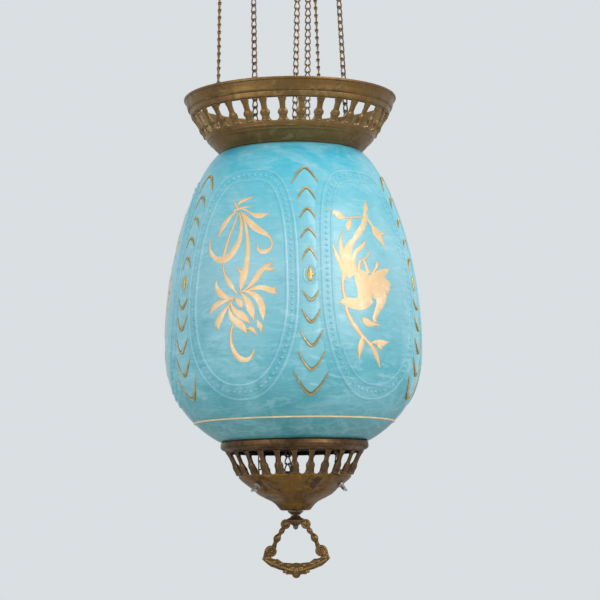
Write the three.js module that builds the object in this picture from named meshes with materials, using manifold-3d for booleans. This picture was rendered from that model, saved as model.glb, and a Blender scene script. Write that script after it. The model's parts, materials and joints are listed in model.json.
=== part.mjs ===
// Pull-down hall lamp: a brass crown and an opal glass shade hang on three ladder
// chains that run over pulleys and carry the pierced bowl underneath.
// Millimetres, +Z up. The origin is the point where the hook bears on the hanger loop.
// Azimuths are in degrees, 0 towards -Y (the front) and positive towards +X.

import * as THREE from 'three';
import { mergeVertices } from 'three/addons/utils/BufferGeometryUtils.js';
import Module from 'manifold-3d';

const wasm = await Module();
wasm.setup();

// Clearances
const SEAT = 0.3;               // gap left between pieces that touch
const RUN = 0.3;                // radial play of a pin in its bore

// Stack of the lamp, from the hook downwards
const HOOK_TO_AXLE = 75;        // hook bearing point to the pulley axles
const AXLE_TO_LIP = 150;        // pulley axles to the top of the crown
const CROWN_HEIGHT = 48.2;
const GLASS_SHOW = 242.2;       // glass that shows between crown and bowl
const BOWL_HEIGHT = 57;

// Where the three chains sit round the axis
const CHAINS = 3;
const PULLEY_AZIMUTH = -78;
const HOOK_AZIMUTH = -73;       // outer fall, at the crown
const ANCHOR_AZIMUTH = -50;     // inner fall, at the bowl
const OUTER_FALL_R = 58;        // radius of the outer fall at the axles
const INNER_FALL_R = 30.6;      // radius of the inner fall at the axles

// Ladder chain
const CHAIN_WIDTH = 5.4;
const CHAIN_THICK = 1.6;
const CHAIN_PITCH = 6.35;
const CHAIN_WIRE = 1.1;

// Pulleys and their frame
const PULLEY_R = 17;
const PULLEY_WIDTH = 8.6;
const GROOVE_WIDTH = 6.6;
const PULLEY_HOLES = 4;
const PULLEY_HOLE_R = 2;
const AXLE_R = 2;
const AXLE_HEAD_R = 3.4;
const AXLE_HEAD = 1.5;
const CHEEK = 2.4;              // wall of a fork on each side of its pulley
const CHEEK_PLAY = 0.4;         // side play between pulley and fork
const FORK_END = 5;             // metal beyond the pulley at the end of a fork
const FORK_DEPTH = 14;
const HUB_R = 12.5;
const HUB_TOP = 36;             // hook bearing point to the top of the hub
const HUB_DROP = 21;            // hub finial below the axles
const LOOP_WIRE = 5;
const LOOP_BORE = 25;
const LOOP_COLLAR_R = 8;
const STUD_R = 3;
const STUD_LENGTH = 11;

// Crown
const CROWN_LIP_R = 89.9;
const CROWN_FOOT_R = 58.6;
const CROWN_WALL = 1.6;
const CROWN_BAYS = 32;
const CROWN_GALLERY_LOW = 15;   // bottom of the openings above the crown's foot
const CROWN_GALLERY_HIGH = 33;  // top of the openings above the crown's foot
const LIP_ROLL = 2.6;

// Hooks and clips inside the crown
const EAR_THICK = 2.4;
const EAR_HEIGHT = 7;
const EAR_ABOVE_FOOT = 14.5;    // bottom of a hook above the crown's foot
const HOOK_REACH = 5.8;         // crown's wall in to the end of an outer fall
const CLIP_WIDTH = 8;
const CLIP_THICK = 0.9;
const CLIP_DROP = 10;

// Glass
const GLASS_BELLY_R = 108.1;
const GLASS_BELLY_UP = 83.7;    // height of the belly above the bowl's ring
const GLASS_LEDGE = 1.4;         // shoulder of the glass beyond the crown's foot
const GLASS_WALL = 3.2;
const NECK_HEIGHT = 9;
const COLLAR_R = 58.4;

// Bowl
const BOWL_RING_WALL = 3;       // brass round the collar of the glass
const BOWL_LEDGE = 1.1;         // brass under the collar of the glass
const BOWL_WALL = 1.7;
const BOWL_RING_HEIGHT = 6.8;
const BOWL_BAYS = 24;
const BOWL_GALLERY_LOW = 28.2;  // bottom of the openings above the bowl's bottom
const BOWL_GALLERY_HIGH = 48.2; // top of the openings above the bowl's bottom
const BOWL_FLAT_R = 11.4;

// Anchors of the inner falls in the bowl
const SCREW_R = 1.5;
const WING_SPAN = 7;
const WING_HEIGHT = 5;
const WING_THICK = 1.5;
const WING_NOTCH = 2.2;
const STRAP_WIDTH = 6;
const STRAP_THICK = 1.3;
const STRAP_RISE = 7.5;

// Centre rod, pull ring and candle
const ROD_R = 1.9;
const DROP_R = 2.7;
const DROP_HEIGHT = 3;
const NUT_ACROSS = 9;
const NUT_HEIGHT = 3.5;
const NECK_NUT_R = 6.5;
const NECK_NUT_HEIGHT = 3.4;
const RING_WIDTH = 57;
const RING_THICK = 5;
const RING_NECK_R = 3.5;
const RING_BOSS = 8.8;          // height of the ring's bored boss
const RING_HEIGHT = 52;
const CUP_R = 12.4;
const CUP_WALL = 1.2;
const CUP_HEIGHT = 24;
const CUP_FLOOR = 1.6;
const CUP_BOSS_R = 5;
const CUP_BOSS_HEIGHT = 5.5;
const PAN_R = 25;
const PAN_DEPTH = 4;
const PAN_WALL = 1;
const CANDLE_R = 10.6;
const CANDLE_HEIGHT = 80;
const WICK_R = 0.8;
const WICK_SHOW = 8;
const WICK_SUNK = 6;

// Facets round each turned piece
const GLASS_ROUND = 40;
const CROWN_ROUND = CROWN_BAYS;
const BOWL_ROUND = 2 * BOWL_BAYS;
const SMALL_ROUND = 16;
const BORE_ROUND = 10;

// Heights that follow from the stack
const AXLE_Z = -HOOK_TO_AXLE;
const CROWN_TOP_Z = AXLE_Z - AXLE_TO_LIP;
const CROWN_FOOT_Z = CROWN_TOP_Z - CROWN_HEIGHT;
const SHOULDER_Z = CROWN_FOOT_Z - SEAT;
const RING_TOP_Z = SHOULDER_Z - GLASS_SHOW;
const BOWL_FOOT_Z = RING_TOP_Z - BOWL_HEIGHT;

// Sizes that follow from the pieces that meet
const GLASS_SHOULDER_R = CROWN_FOOT_R + GLASS_LEDGE;
const GLASS_FOOT_R = COLLAR_R + GLASS_WALL;
const BOWL_RING_R = COLLAR_R + SEAT + BOWL_RING_WALL;
const COLLAR_HEIGHT = BOWL_RING_HEIGHT - BOWL_LEDGE - SEAT;

const AXLE_RING_R = (OUTER_FALL_R + INNER_FALL_R) / 2;
const CHAIN_BEND_R = (OUTER_FALL_R - INNER_FALL_R) / 2;
const WRAP_LINKS = Math.round((Math.PI * CHAIN_BEND_R) / CHAIN_PITCH);
const WRAP_STEP = Math.PI / WRAP_LINKS;

// A link lies over the pulley as a chord, so its middle is nearer the axle than its rungs.
const GROOVE_R = (CHAIN_BEND_R - CHAIN_THICK / 2) * Math.cos(WRAP_STEP / 2) - SEAT;

// Distance from the axis to the flats of a faceted wall.
const toFlats = (radius, facets) => radius * Math.cos(Math.PI / facets);

const NECK_R = toFlats(CROWN_FOOT_R - CROWN_WALL, CROWN_ROUND) - SEAT;

// Turns of the pierced bands and the glass that the lamp hangs at
const CROWN_TURN = 7;
const GLASS_TURN = 8;

// Finishes
const BRASS = { color: 0x7d633e, roughness: 0.48, metalness: 0.85 };
const DARK_BRASS = { color: 0x4a3a28, roughness: 0.55, metalness: 0.8 };
const GILT_BRASS = { color: 0x9a6b35, roughness: 0.42, metalness: 0.85 };
const CHAIN_BRASS = { color: 0x6b5136, roughness: 0.5, metalness: 0.8 };
const STEEL = { color: 0x77736c, roughness: 0.45, metalness: 0.9 };
const OPAL = { color: 0x6cc4cf, roughness: 0.35, metalness: 0 };
const WAX = { color: 0xefe6cf, roughness: 0.6, metalness: 0 };
const COTTON = { color: 0x3b342b, roughness: 0.9, metalness: 0 };

const lamp = new THREE.Group();

// Shared helpers

const radians = THREE.MathUtils.degToRad;

function place(name, geometry, finish, azimuth = 0) {
  const mesh = new THREE.Mesh(geometry, new THREE.MeshStandardMaterial(finish));
  mesh.name = name;
  mesh.rotation.z = radians(azimuth);
  lamp.add(mesh);
  return mesh;
}

// Merges the corners of a geometry, drops its empty triangles and turns it face out.
function weld(source) {
  const bare = source.clone();
  bare.deleteAttribute('uv');
  bare.deleteAttribute('normal');
  const merged = mergeVertices(bare, 1e-4);
  const at = merged.getAttribute('position');
  const index = merged.getIndex().array;
  const corners = [new THREE.Vector3(), new THREE.Vector3(), new THREE.Vector3()];
  const kept = [];
  let volume = 0;
  for (let i = 0; i < index.length; i += 3) {
    const [a, b, c] = [index[i], index[i + 1], index[i + 2]];
    if (a === b || b === c || c === a) continue;
    kept.push(a, b, c);
    [a, b, c].forEach((corner, k) => corners[k].fromBufferAttribute(at, corner));
    volume += corners[0].dot(corners[1].clone().cross(corners[2]));
  }
  if (volume < 0) {
    for (let i = 0; i < kept.length; i += 3) {
      [kept[i], kept[i + 1]] = [kept[i + 1], kept[i]];
    }
  }
  merged.setIndex(kept);
  return merged;
}

function solid(geometry) {
  const welded = weld(geometry);
  return new wasm.Manifold(new wasm.Mesh({
    numProp: 3,
    vertProperties: new Float32Array(welded.getAttribute('position').array),
    triVerts: new Uint32Array(welded.getIndex().array),
  }));
}

function geometryOf(body) {
  const mesh = body.asOriginal().simplify(0.002).getMesh();
  const geometry = new THREE.BufferGeometry();
  geometry.setAttribute('position', new THREE.BufferAttribute(new Float32Array(mesh.vertProperties), 3));
  geometry.setIndex(new THREE.BufferAttribute(new Uint32Array(mesh.triVerts), 1));
  geometry.computeVertexNormals();
  return geometry;
}

function join(...geometries) {
  return geometryOf(geometries.map(solid).reduce((whole, next) => whole.add(next)));
}

function cut(geometry, ...tools) {
  return geometryOf(tools.map(solid).reduce((whole, next) => whole.subtract(next), solid(geometry)));
}

// Turns a profile of [radius, height] points about the Z axis.
function turn(profile, segments = SMALL_ROUND) {
  const points = profile.map(([r, z]) => new THREE.Vector2(r, z));
  return weld(new THREE.LatheGeometry(points, segments).rotateX(Math.PI / 2));
}

// Turns a profile that closes on itself, for a piece with a bore or an open mouth.
function turnRing(profile, segments = SMALL_ROUND) {
  return turn([...profile, profile[0]], segments);
}

// Cylinder along Z between two heights.
function post(radius, low, high, segments = SMALL_ROUND) {
  return turn([[0, low], [radius, low], [radius, high], [0, high]], segments);
}

// Extrudes an outline drawn in the front radial plane, as [radius, height], to both
// sides of that plane.
function plateAcross(shape, width, steps = 4) {
  const geometry = new THREE.ExtrudeGeometry(shape, { depth: width, bevelEnabled: false, curveSegments: steps });
  geometry.translate(0, 0, -width / 2);
  geometry.applyMatrix4(new THREE.Matrix4().makeBasis(
    new THREE.Vector3(0, -1, 0), new THREE.Vector3(0, 0, 1), new THREE.Vector3(-1, 0, 0)));
  return weld(geometry);
}

function outline(points) {
  return new THREE.Shape(points.map(([x, y]) => new THREE.Vector2(x, y)));
}

function polar(radius, azimuth, z) {
  const angle = radians(azimuth);
  return new THREE.Vector3(radius * Math.sin(angle), -radius * Math.cos(angle), z);
}

function turned(azimuth, index, count = CHAINS) {
  return azimuth + (360 / count) * index;
}

// Radius at a height on a profile of [radius, height] points that rises in height.
function radiusAt(profile, z) {
  const next = profile.findIndex((point) => point[1] >= z);
  const [r1, z1] = profile[Math.max(next, 1)];
  const [r0, z0] = profile[Math.max(next, 1) - 1];
  return r0 + ((r1 - r0) * (z - z0)) / (z1 - z0);
}

// Moves a rising profile towards the axis by the thickness of its wall.
function inset(profile, wall) {
  const facing = profile.slice(1).map(([r, z], i) => {
    const [r0, z0] = profile[i];
    const length = Math.hypot(r - r0, z - z0);
    return [(z0 - z) / length, (r - r0) / length];
  });
  return profile.map(([r, z], i) => {
    const a = facing[Math.max(i - 1, 0)];
    const b = facing[Math.min(i, facing.length - 1)];
    const scale = wall / (1 + a[0] * b[0] + a[1] * b[1]);
    return [r + (a[0] + b[0]) * scale, z + (a[1] + b[1]) * scale];
  });
}

// Hanger loop: a cast ring on a collared stud

function hangerLoop() {
  const wire = LOOP_WIRE / 2;
  const middle = LOOP_BORE / 2 + wire;
  const ring = new THREE.TorusGeometry(middle, wire, 6, 20).rotateX(Math.PI / 2).translate(0, 0, -LOOP_BORE / 2);
  const ringFoot = -LOOP_BORE - wire;
  const collarFoot = -HUB_TOP + SEAT;
  const shankR = wire * 1.4;
  const shank = turn([
    [0, ringFoot], [shankR, ringFoot - wire * 0.8], [shankR, collarFoot + wire],
    [LOOP_COLLAR_R, collarFoot + wire * 0.6], [LOOP_COLLAR_R, collarFoot], [STUD_R, collarFoot],
    [STUD_R, collarFoot - STUD_LENGTH], [0, collarFoot - STUD_LENGTH],
  ], 12);
  return join(ring, shank);
}

// Pulley frame: a turned hub with three forked arms

function forkArm() {
  const start = HUB_R / 2;
  const end = AXLE_RING_R + PULLEY_R + FORK_END;
  const top = AXLE_Z + FORK_DEPTH / 2;
  const low = AXLE_Z - FORK_DEPTH / 2;
  const arm = new THREE.Shape();
  arm.moveTo(start, low);
  arm.quadraticCurveTo(end * 0.42, low + 5, AXLE_RING_R, low);
  arm.quadraticCurveTo(end - 4, low - 1, end, AXLE_Z);
  arm.quadraticCurveTo(end - 3, top - 1, AXLE_RING_R + 8, top - 2);
  arm.quadraticCurveTo(AXLE_RING_R - 8, top - 1, AXLE_RING_R - PULLEY_R - 6, top + 4);
  arm.quadraticCurveTo(start + 6, top + 8, start, top + 12);
  arm.closePath();
  return plateAcross(arm, forkWidth(), 3);
}

function forkWidth() {
  return PULLEY_WIDTH + 2 * CHEEK_PLAY + 2 * CHEEK;
}

function pulleyFrame() {
  const top = -HUB_TOP;
  const low = AXLE_Z - HUB_DROP;
  const hub = turn([
    [0, low], [2.6, low + 1.4], [3.2, low + 4], [2, low + 6.5], [7, low + 9], [HUB_R, low + 15],
    [HUB_R, AXLE_Z + 8], [9, AXLE_Z + 16], [6, AXLE_Z + 24], [6.4, top - 6], [9, top - 3], [9, top], [0, top],
  ]);
  const slotLength = 2 * PULLEY_R + 3;
  const slot = new THREE.BoxGeometry(PULLEY_WIDTH + 2 * CHEEK_PLAY, slotLength, 4 * FORK_DEPTH)
    .translate(0, -AXLE_RING_R, AXLE_Z);
  const axleHole = new THREE.CylinderGeometry(AXLE_R + RUN, AXLE_R + RUN, forkWidth() + 4, BORE_ROUND)
    .rotateZ(Math.PI / 2).translate(0, -AXLE_RING_R, AXLE_Z);
  const arm = cut(forkArm(), slot, axleHole);
  const arms = Array.from({ length: CHAINS }, (_, i) => arm.clone().rotateZ(radians(turned(PULLEY_AZIMUTH, i))));
  const studHole = post(STUD_R + RUN, top - STUD_LENGTH - 1, top + 1);
  return cut(join(hub, ...arms), studHole);
}

// Pulleys and their riveted pins

function axlePin() {
  const half = forkWidth() / 2 + SEAT;
  return turn([
    [0, -half - AXLE_HEAD], [AXLE_HEAD_R - 1, -half - AXLE_HEAD], [AXLE_HEAD_R, -half - 0.5],
    [AXLE_HEAD_R, -half], [AXLE_R, -half], [AXLE_R, half], [AXLE_HEAD_R - 0.6, half],
    [AXLE_HEAD_R - 0.9, half + 0.9], [0, half + 1.1],
  ], BORE_ROUND).rotateY(Math.PI / 2).translate(0, -AXLE_RING_R, AXLE_Z);
}

function pulley() {
  const half = PULLEY_WIDTH / 2;
  const groove = GROOVE_WIDTH / 2;
  const bore = AXLE_R + RUN;
  const wheel = turnRing([
    [bore, -half], [PULLEY_R, -half], [PULLEY_R, -groove - 0.4], [GROOVE_R, -groove],
    [GROOVE_R, groove], [PULLEY_R, groove + 0.4], [PULLEY_R, half], [bore, half],
  ]);
  const holes = Array.from({ length: PULLEY_HOLES }, (_, i) => post(PULLEY_HOLE_R, -half - 1, half + 1, 6)
    .translate((bore + GROOVE_R) / 2, 0, 0)
    .rotateZ((2 * Math.PI * i) / PULLEY_HOLES));
  return cut(wheel, ...holes).rotateY(Math.PI / 2).translate(0, -AXLE_RING_R, AXLE_Z);
}

// Ladder chain: rungs between two side rails, each opening narrow at its top

function ladderFall(top, bottom, azimuth) {
  const along = bottom.clone().sub(top);
  const length = along.length();
  const links = Math.round(length / CHAIN_PITCH);
  const pitch = length / links;
  const half = CHAIN_WIDTH / 2;
  const strip = outline([[-half, -length], [half, -length], [half, 0], [-half, 0]]);
  for (let i = 0; i < links; i += 1) {
    const high = -i * pitch - CHAIN_WIRE / 2;
    const low = -(i + 1) * pitch + CHAIN_WIRE / 2;
    const hole = outline([[0, high], [half - CHAIN_WIRE, low], [CHAIN_WIRE - half, low]]);
    strip.holes.push(hole);
  }
  const geometry = new THREE.ExtrudeGeometry(strip, { depth: CHAIN_THICK, bevelEnabled: false });
  geometry.translate(0, 0, -CHAIN_THICK / 2);
  const up = along.clone().negate().normalize();
  const side = polar(1, azimuth + 90, 0);
  side.addScaledVector(up, -side.dot(up)).normalize();
  const facing = side.clone().cross(up);
  geometry.applyMatrix4(new THREE.Matrix4().makeBasis(side, up, facing));
  geometry.translate(top.x, top.y, top.z);
  return weld(geometry);
}

// The stretch of chain that lies over a pulley, one straight link after another.
function chainWrap() {
  const arc = (radius) => Array.from({ length: WRAP_LINKS + 1 }, (_, i) => [
    radius * Math.cos(i * WRAP_STEP), radius * Math.sin(i * WRAP_STEP)]);
  const outside = arc(CHAIN_BEND_R + CHAIN_THICK / 2);
  const inside = arc(CHAIN_BEND_R - CHAIN_THICK / 2).reverse();
  const band = plateAcross(outline([...outside, ...inside]), CHAIN_WIDTH);
  const across = CHAIN_WIDTH - 2 * CHAIN_WIRE;
  const openings = Array.from({ length: WRAP_LINKS }, (_, i) => new THREE
    .BoxGeometry(across, CHAIN_PITCH - 2 * CHAIN_WIRE, 6)
    .translate(0, 0, CHAIN_BEND_R)
    .rotateX((i + 0.5) * WRAP_STEP - Math.PI / 2));
  return cut(band, ...openings).translate(0, -AXLE_RING_R, AXLE_Z);
}

// Crown: a flared band with a rolled lip and a gallery of balusters

// Outside of the crown, from its foot to below the lip, as shares of its flare.
const crownFlare = CROWN_LIP_R - CROWN_FOOT_R;
const crownOutside = [
  [0, 0], [0.14, CROWN_GALLERY_LOW * 0.29], [0.3, CROWN_GALLERY_LOW * 0.65],
  [0.358, CROWN_GALLERY_LOW * 0.75], [0.87, CROWN_GALLERY_HIGH + LIP_ROLL * 1.7],
  [0.914, CROWN_GALLERY_HIGH + LIP_ROLL * 2.2], [0.962, CROWN_HEIGHT - LIP_ROLL * 2],
].map(([share, up]) => [CROWN_FOOT_R + crownFlare * share, CROWN_FOOT_Z + up]);

const crownInside = inset(crownOutside, CROWN_WALL);

function crownSeat(z) {
  return toFlats(radiusAt(crownInside, z), CROWN_ROUND) - SEAT;
}

function crown() {
  const insidePoints = [0, 3, 4, 6].map((i) => crownInside[i]).reverse();
  return cut(turnRing([
    ...crownOutside,
    [CROWN_LIP_R, CROWN_TOP_Z - 1.5 * LIP_ROLL],
    [CROWN_LIP_R, CROWN_TOP_Z - 0.5 * LIP_ROLL],
    [CROWN_LIP_R - 1.3, CROWN_TOP_Z],
    [CROWN_LIP_R - 1.6 - CROWN_WALL, CROWN_TOP_Z],
    ...insidePoints,
  ], CROWN_ROUND), ...galleryCuts({
    bays: CROWN_BAYS,
    outside: crownOutside,
    low: CROWN_FOOT_Z + CROWN_GALLERY_LOW,
    high: CROWN_FOOT_Z + CROWN_GALLERY_HIGH,
    cap: 0.3,
  }));
}

// The openings between balusters: square shoulders under the rail, a waist between
// the balls and a round scallop below. Widths are shares of the bay.
function galleryCuts({ bays, outside, low, high, cap }) {
  const rise = high - low;
  const lowR = radiusAt(outside, low);
  const highR = radiusAt(outside, high);
  const bay = (2 * Math.PI * ((lowR + highR) / 2)) / bays;
  const slope = Math.atan2(highR - lowR, rise);
  const length = Math.hypot(rise, highR - lowR);
  const half = [
    [0.14, 0], [0.29, 0.1], [0.2, 0.3], [0.28, 0.45], [0.37, 0.82], [cap, 1],
  ].map(([across, up]) => [across * bay, (up - 0.5) * length]);
  const shape = outline([...half, ...half.map(([x, y]) => [-x, y]).reverse()]);
  const depth = 14;
  const opening = new THREE.ExtrudeGeometry(shape, { depth, bevelEnabled: false })
    .translate(0, 0, -depth / 2)
    .rotateX(Math.PI / 2 + slope)
    .translate(0, -(lowR + highR) / 2, (low + high) / 2);
  return Array.from({ length: bays }, (_, i) => opening.clone()
    .rotateZ((2 * Math.PI * (i + 0.5)) / bays));
}

// Radius of the outer fall where it is hooked into its ear.
const hookR = crownSeat(CROWN_FOOT_Z + EAR_ABOVE_FOOT) - HOOK_REACH;

// Ear that takes the end of an outer fall, riveted inside the crown
function crownHook() {
  const low = CROWN_FOOT_Z + EAR_ABOVE_FOOT;
  const high = low + EAR_HEIGHT;
  const ear = outline([
    [hookR - EAR_HEIGHT * 0.3, low + EAR_HEIGHT * 0.2],
    [crownSeat(low), low],
    [crownSeat(high), high],
    [hookR - EAR_HEIGHT * 0.3, high],
  ]);
  const eye = new THREE.Path();
  eye.absarc(hookR + EAR_HEIGHT * 0.1, low + EAR_HEIGHT * 0.55, EAR_HEIGHT * 0.17, 0, 2 * Math.PI, true);
  ear.holes.push(eye);
  return plateAcross(ear, EAR_THICK, 4);
}

// Spring clip: reaches over the glass neck and presses on its inside
function shadeClip() {
  const over = SHOULDER_Z + NECK_HEIGHT + SEAT;
  const inner = NECK_R - GLASS_WALL - SEAT;
  const wall = crownSeat(over);
  const t = CLIP_THICK;
  return plateAcross(outline([
    [wall, over],
    [crownSeat(over + t), over + t],
    [inner - t, over + t],
    [inner - t - 1.2, over - CLIP_DROP * 0.6],
    [inner - t + 0.2, over - CLIP_DROP],
    [inner - 0.1, over - CLIP_DROP],
    [inner - 1.2, over - CLIP_DROP * 0.6],
    [inner, over],
  ]), CLIP_WIDTH);
}

// Glass shade: an egg-shaped body between a short neck and a short collar

// Quarter of a fuller oval from the belly (t = 0) to an end (t = 1).
function swell(t, roundness, fullness) {
  return (1 - t ** roundness) ** fullness;
}

function glassProfile(belly, foot, shoulder, count) {
  const bellyZ = RING_TOP_Z + GLASS_BELLY_UP;
  const quarter = Array.from({ length: count + 1 }, (_, i) => Math.sin((Math.PI / 2) * (i / count)));
  const lower = quarter.map((t) => [
    foot + (belly - foot) * swell(t, 2.7, 0.885), bellyZ + (RING_TOP_Z + SEAT - bellyZ) * t]);
  const upper = quarter.map((t) => [
    shoulder + (belly - shoulder) * swell(t, 1.87, 0.735), bellyZ + (SHOULDER_Z - bellyZ) * t]);
  return [...lower.reverse(), ...upper.slice(1)];
}

function glassShade() {
  const collarZ = RING_TOP_Z - COLLAR_HEIGHT;
  const neckZ = SHOULDER_Z + NECK_HEIGHT;
  return turnRing([
    [COLLAR_R, collarZ], [COLLAR_R, RING_TOP_Z + SEAT],
    ...glassProfile(GLASS_BELLY_R, GLASS_FOOT_R, GLASS_SHOULDER_R, 7),
    [NECK_R, SHOULDER_Z], [NECK_R, neckZ], [NECK_R - GLASS_WALL, neckZ],
    ...glassProfile(GLASS_BELLY_R - GLASS_WALL, COLLAR_R - GLASS_WALL, NECK_R - GLASS_WALL, 5).reverse(),
    [COLLAR_R - GLASS_WALL, collarZ],
  ], GLASS_ROUND);
}

// Bowl: a beaded ring, a gallery of balusters and a stepped saucer

// Outside of the bowl, from its bore to below the ring. The saucer's points are shares
// of the ring's radius and of the height of the gallery's foot.
const bowlOutside = [
  [ROD_R + RUN, BOWL_FOOT_Z],
  [BOWL_FLAT_R, BOWL_FOOT_Z],
  ...[[0.288, 0.234], [0.486, 0.45], [0.554, 0.596], [0.734, 0.908]].map(([out, up]) => [
    BOWL_RING_R * out, BOWL_FOOT_Z + BOWL_GALLERY_LOW * up]),
  [BOWL_RING_R * 0.925, RING_TOP_Z - BOWL_RING_HEIGHT * 1.09],
];

const bowlInside = inset(bowlOutside, BOWL_WALL);

function bowl() {
  const ringLow = RING_TOP_Z - BOWL_RING_HEIGHT;
  const seatR = (COLLAR_R + SEAT) / toFlats(1, BOWL_ROUND);
  const seatZ = RING_TOP_Z - COLLAR_HEIGHT - SEAT;
  const shell = turnRing([
    ...bowlOutside,
    [BOWL_RING_R - 0.9, ringLow],
    [BOWL_RING_R, ringLow + BOWL_RING_HEIGHT * 0.35],
    [BOWL_RING_R, ringLow + BOWL_RING_HEIGHT * 0.7],
    [BOWL_RING_R - 1.2, RING_TOP_Z],
    [seatR, RING_TOP_Z],
    [seatR, seatZ],
    [bowlInside.at(-1)[0], seatZ],
    ...bowlInside.toReversed(),
  ], BOWL_ROUND);
  const screwHoles = Array.from({ length: CHAINS }, (_, i) => screwAxis(post(SCREW_R + RUN, -8, 8, BORE_ROUND))
    .rotateZ(radians(turned(ANCHOR_AZIMUTH, i))));
  return cut(shell, ...galleryCuts({
    bays: BOWL_BAYS,
    outside: bowlOutside,
    low: BOWL_FOOT_Z + BOWL_GALLERY_LOW,
    high: BOWL_FOOT_Z + BOWL_GALLERY_HIGH,
    cap: 0.28,
  }), ...screwHoles);
}

// Thumb screws square to the cone of the bowl

const [coneLow, coneHigh] = bowlOutside.slice(4, 6);
const coneMiddle = [(coneLow[0] + coneHigh[0]) / 2, (coneLow[1] + coneHigh[1]) / 2];
const coneTilt = Math.atan2(coneHigh[0] - coneLow[0], coneHigh[1] - coneLow[1]);

// Moves a piece made along Z onto the screw's axis: its +Z end points out of the bowl.
function screwAxis(geometry) {
  return geometry.rotateX(Math.PI / 2 + coneTilt).translate(0, -coneMiddle[0], coneMiddle[1]);
}

function thumbScrew() {
  const wingLow = 3.4;
  const inside = -BOWL_WALL - STRAP_THICK - 2;
  const stem = turn([
    [0, inside], [SCREW_R, inside], [SCREW_R, SEAT + 0.2], [2.7, SEAT + 0.2], [2.7, 1.6],
    [1.8, 2.2], [1.8, wingLow + 1.5], [0, wingLow + 1.5],
  ], BORE_ROUND);
  const half = WING_SPAN / 2;
  const wing = outline([
    [-1.4, 0], [1.4, 0], [half, WING_HEIGHT - 1.4], [half - 0.6, WING_HEIGHT],
    [WING_NOTCH / 2, WING_HEIGHT - 0.4], [0, WING_HEIGHT - 1.7], [-WING_NOTCH / 2, WING_HEIGHT - 0.4],
    [0.6 - half, WING_HEIGHT], [-half, WING_HEIGHT - 1.4],
  ]);
  const blade = new THREE.ExtrudeGeometry(wing, { depth: WING_THICK, bevelEnabled: false })
    .translate(0, 0, -WING_THICK / 2).rotateX(Math.PI / 2).translate(0, 0, wingLow - 0.8);
  return screwAxis(join(stem, blade));
}

// Strap that hooks the end of an inner fall to its screw, inside the bowl.
const strapDepth = BOWL_WALL + SEAT;
const strapOut = [Math.cos(coneTilt), -Math.sin(coneTilt)];
const strapUp = [Math.sin(coneTilt), Math.cos(coneTilt)];

function conePoint(up, inward) {
  return [
    coneMiddle[0] + strapUp[0] * up - strapOut[0] * inward,
    coneMiddle[1] + strapUp[1] * up - strapOut[1] * inward,
  ];
}

const strapBend = conePoint(3, strapDepth + STRAP_THICK);
const strapTopZ = strapBend[1] + STRAP_RISE;
const anchorR = strapBend[0] + STRAP_THICK / 2;

function chainStrap() {
  const strap = outline([
    conePoint(-3, strapDepth), conePoint(3, strapDepth),
    [strapBend[0] + STRAP_THICK, conePoint(3, strapDepth)[1] + 1], [strapBend[0] + STRAP_THICK, strapTopZ],
    [strapBend[0], strapTopZ], strapBend, conePoint(-3, strapDepth + STRAP_THICK),
  ]);
  return cut(plateAcross(strap, STRAP_WIDTH), screwAxis(post(SCREW_R + RUN, -9, 0, BORE_ROUND)));
}

// Centre rod, its nuts and the candle holder

const cupBossZ = RING_TOP_Z - 8;
const cupFloorZ = cupBossZ + CUP_BOSS_HEIGHT;
const ringTopZ = BOWL_FOOT_Z - SEAT - NECK_NUT_HEIGHT - SEAT;
const bossFootZ = ringTopZ - RING_BOSS;

function centerRod() {
  const head = bossFootZ - SEAT;
  const top = cupFloorZ - SEAT;
  return turn([
    [0, head - DROP_HEIGHT], [DROP_R * 0.6, head - DROP_HEIGHT * 0.7], [DROP_R, head], [ROD_R, head],
    [ROD_R, top], [0, top],
  ], BORE_ROUND);
}

function rodNut() {
  const low = BOWL_FOOT_Z + BOWL_WALL + SEAT;
  return turnRing([
    [ROD_R + RUN, low], [NUT_ACROSS / 2, low], [NUT_ACROSS / 2, low + NUT_HEIGHT], [ROD_R + RUN, low + NUT_HEIGHT],
  ], 6);
}

function neckNut() {
  const top = BOWL_FOOT_Z - SEAT;
  return turnRing([
    [ROD_R + RUN, top - NECK_NUT_HEIGHT], [RING_NECK_R, top - NECK_NUT_HEIGHT],
    [NECK_NUT_R, top - 0.9], [NECK_NUT_R, top], [ROD_R + RUN, top],
  ]);
}

function candleCup() {
  const inside = CUP_R - CUP_WALL;
  const floorTop = cupFloorZ + CUP_FLOOR;
  const rim = cupFloorZ + CUP_HEIGHT;
  return turn([
    [0, cupFloorZ - SEAT / 2], [ROD_R + RUN, cupFloorZ - SEAT / 2], [ROD_R + RUN, cupBossZ],
    [CUP_BOSS_R, cupBossZ], [CUP_BOSS_R, cupFloorZ], [CUP_R - 3, cupFloorZ], [CUP_R, cupFloorZ + 3],
    [CUP_R, rim - 2], [CUP_R + 2, rim], [inside, rim], [inside, floorTop], [0, floorTop],
  ]);
}

function dripPan() {
  const low = cupFloorZ - SEAT - PAN_WALL;
  const hole = CUP_BOSS_R + SEAT;
  return turnRing([
    [hole, low], [PAN_R - 5, low], [PAN_R, low + PAN_DEPTH], [PAN_R - PAN_WALL, low + PAN_DEPTH],
    [PAN_R - 5 - PAN_WALL / 2, low + PAN_WALL], [hole, low + PAN_WALL],
  ], 24);
}

const candleFootZ = cupFloorZ + CUP_FLOOR + SEAT;
const candleTopZ = candleFootZ + CANDLE_HEIGHT;

function candle() {
  const wickHole = WICK_R + 0.2;
  return turn([
    [0, candleFootZ], [CANDLE_R, candleFootZ], [CANDLE_R, candleTopZ - 5], [CANDLE_R * 0.8, candleTopZ - 1.5],
    [CANDLE_R * 0.3, candleTopZ], [wickHole, candleTopZ - 0.4], [wickHole, candleTopZ - WICK_SUNK],
    [0, candleTopZ - WICK_SUNK],
  ]);
}

function wick() {
  return post(WICK_R, candleTopZ - WICK_SUNK + SEAT, candleTopZ + WICK_SHOW, 8);
}

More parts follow.
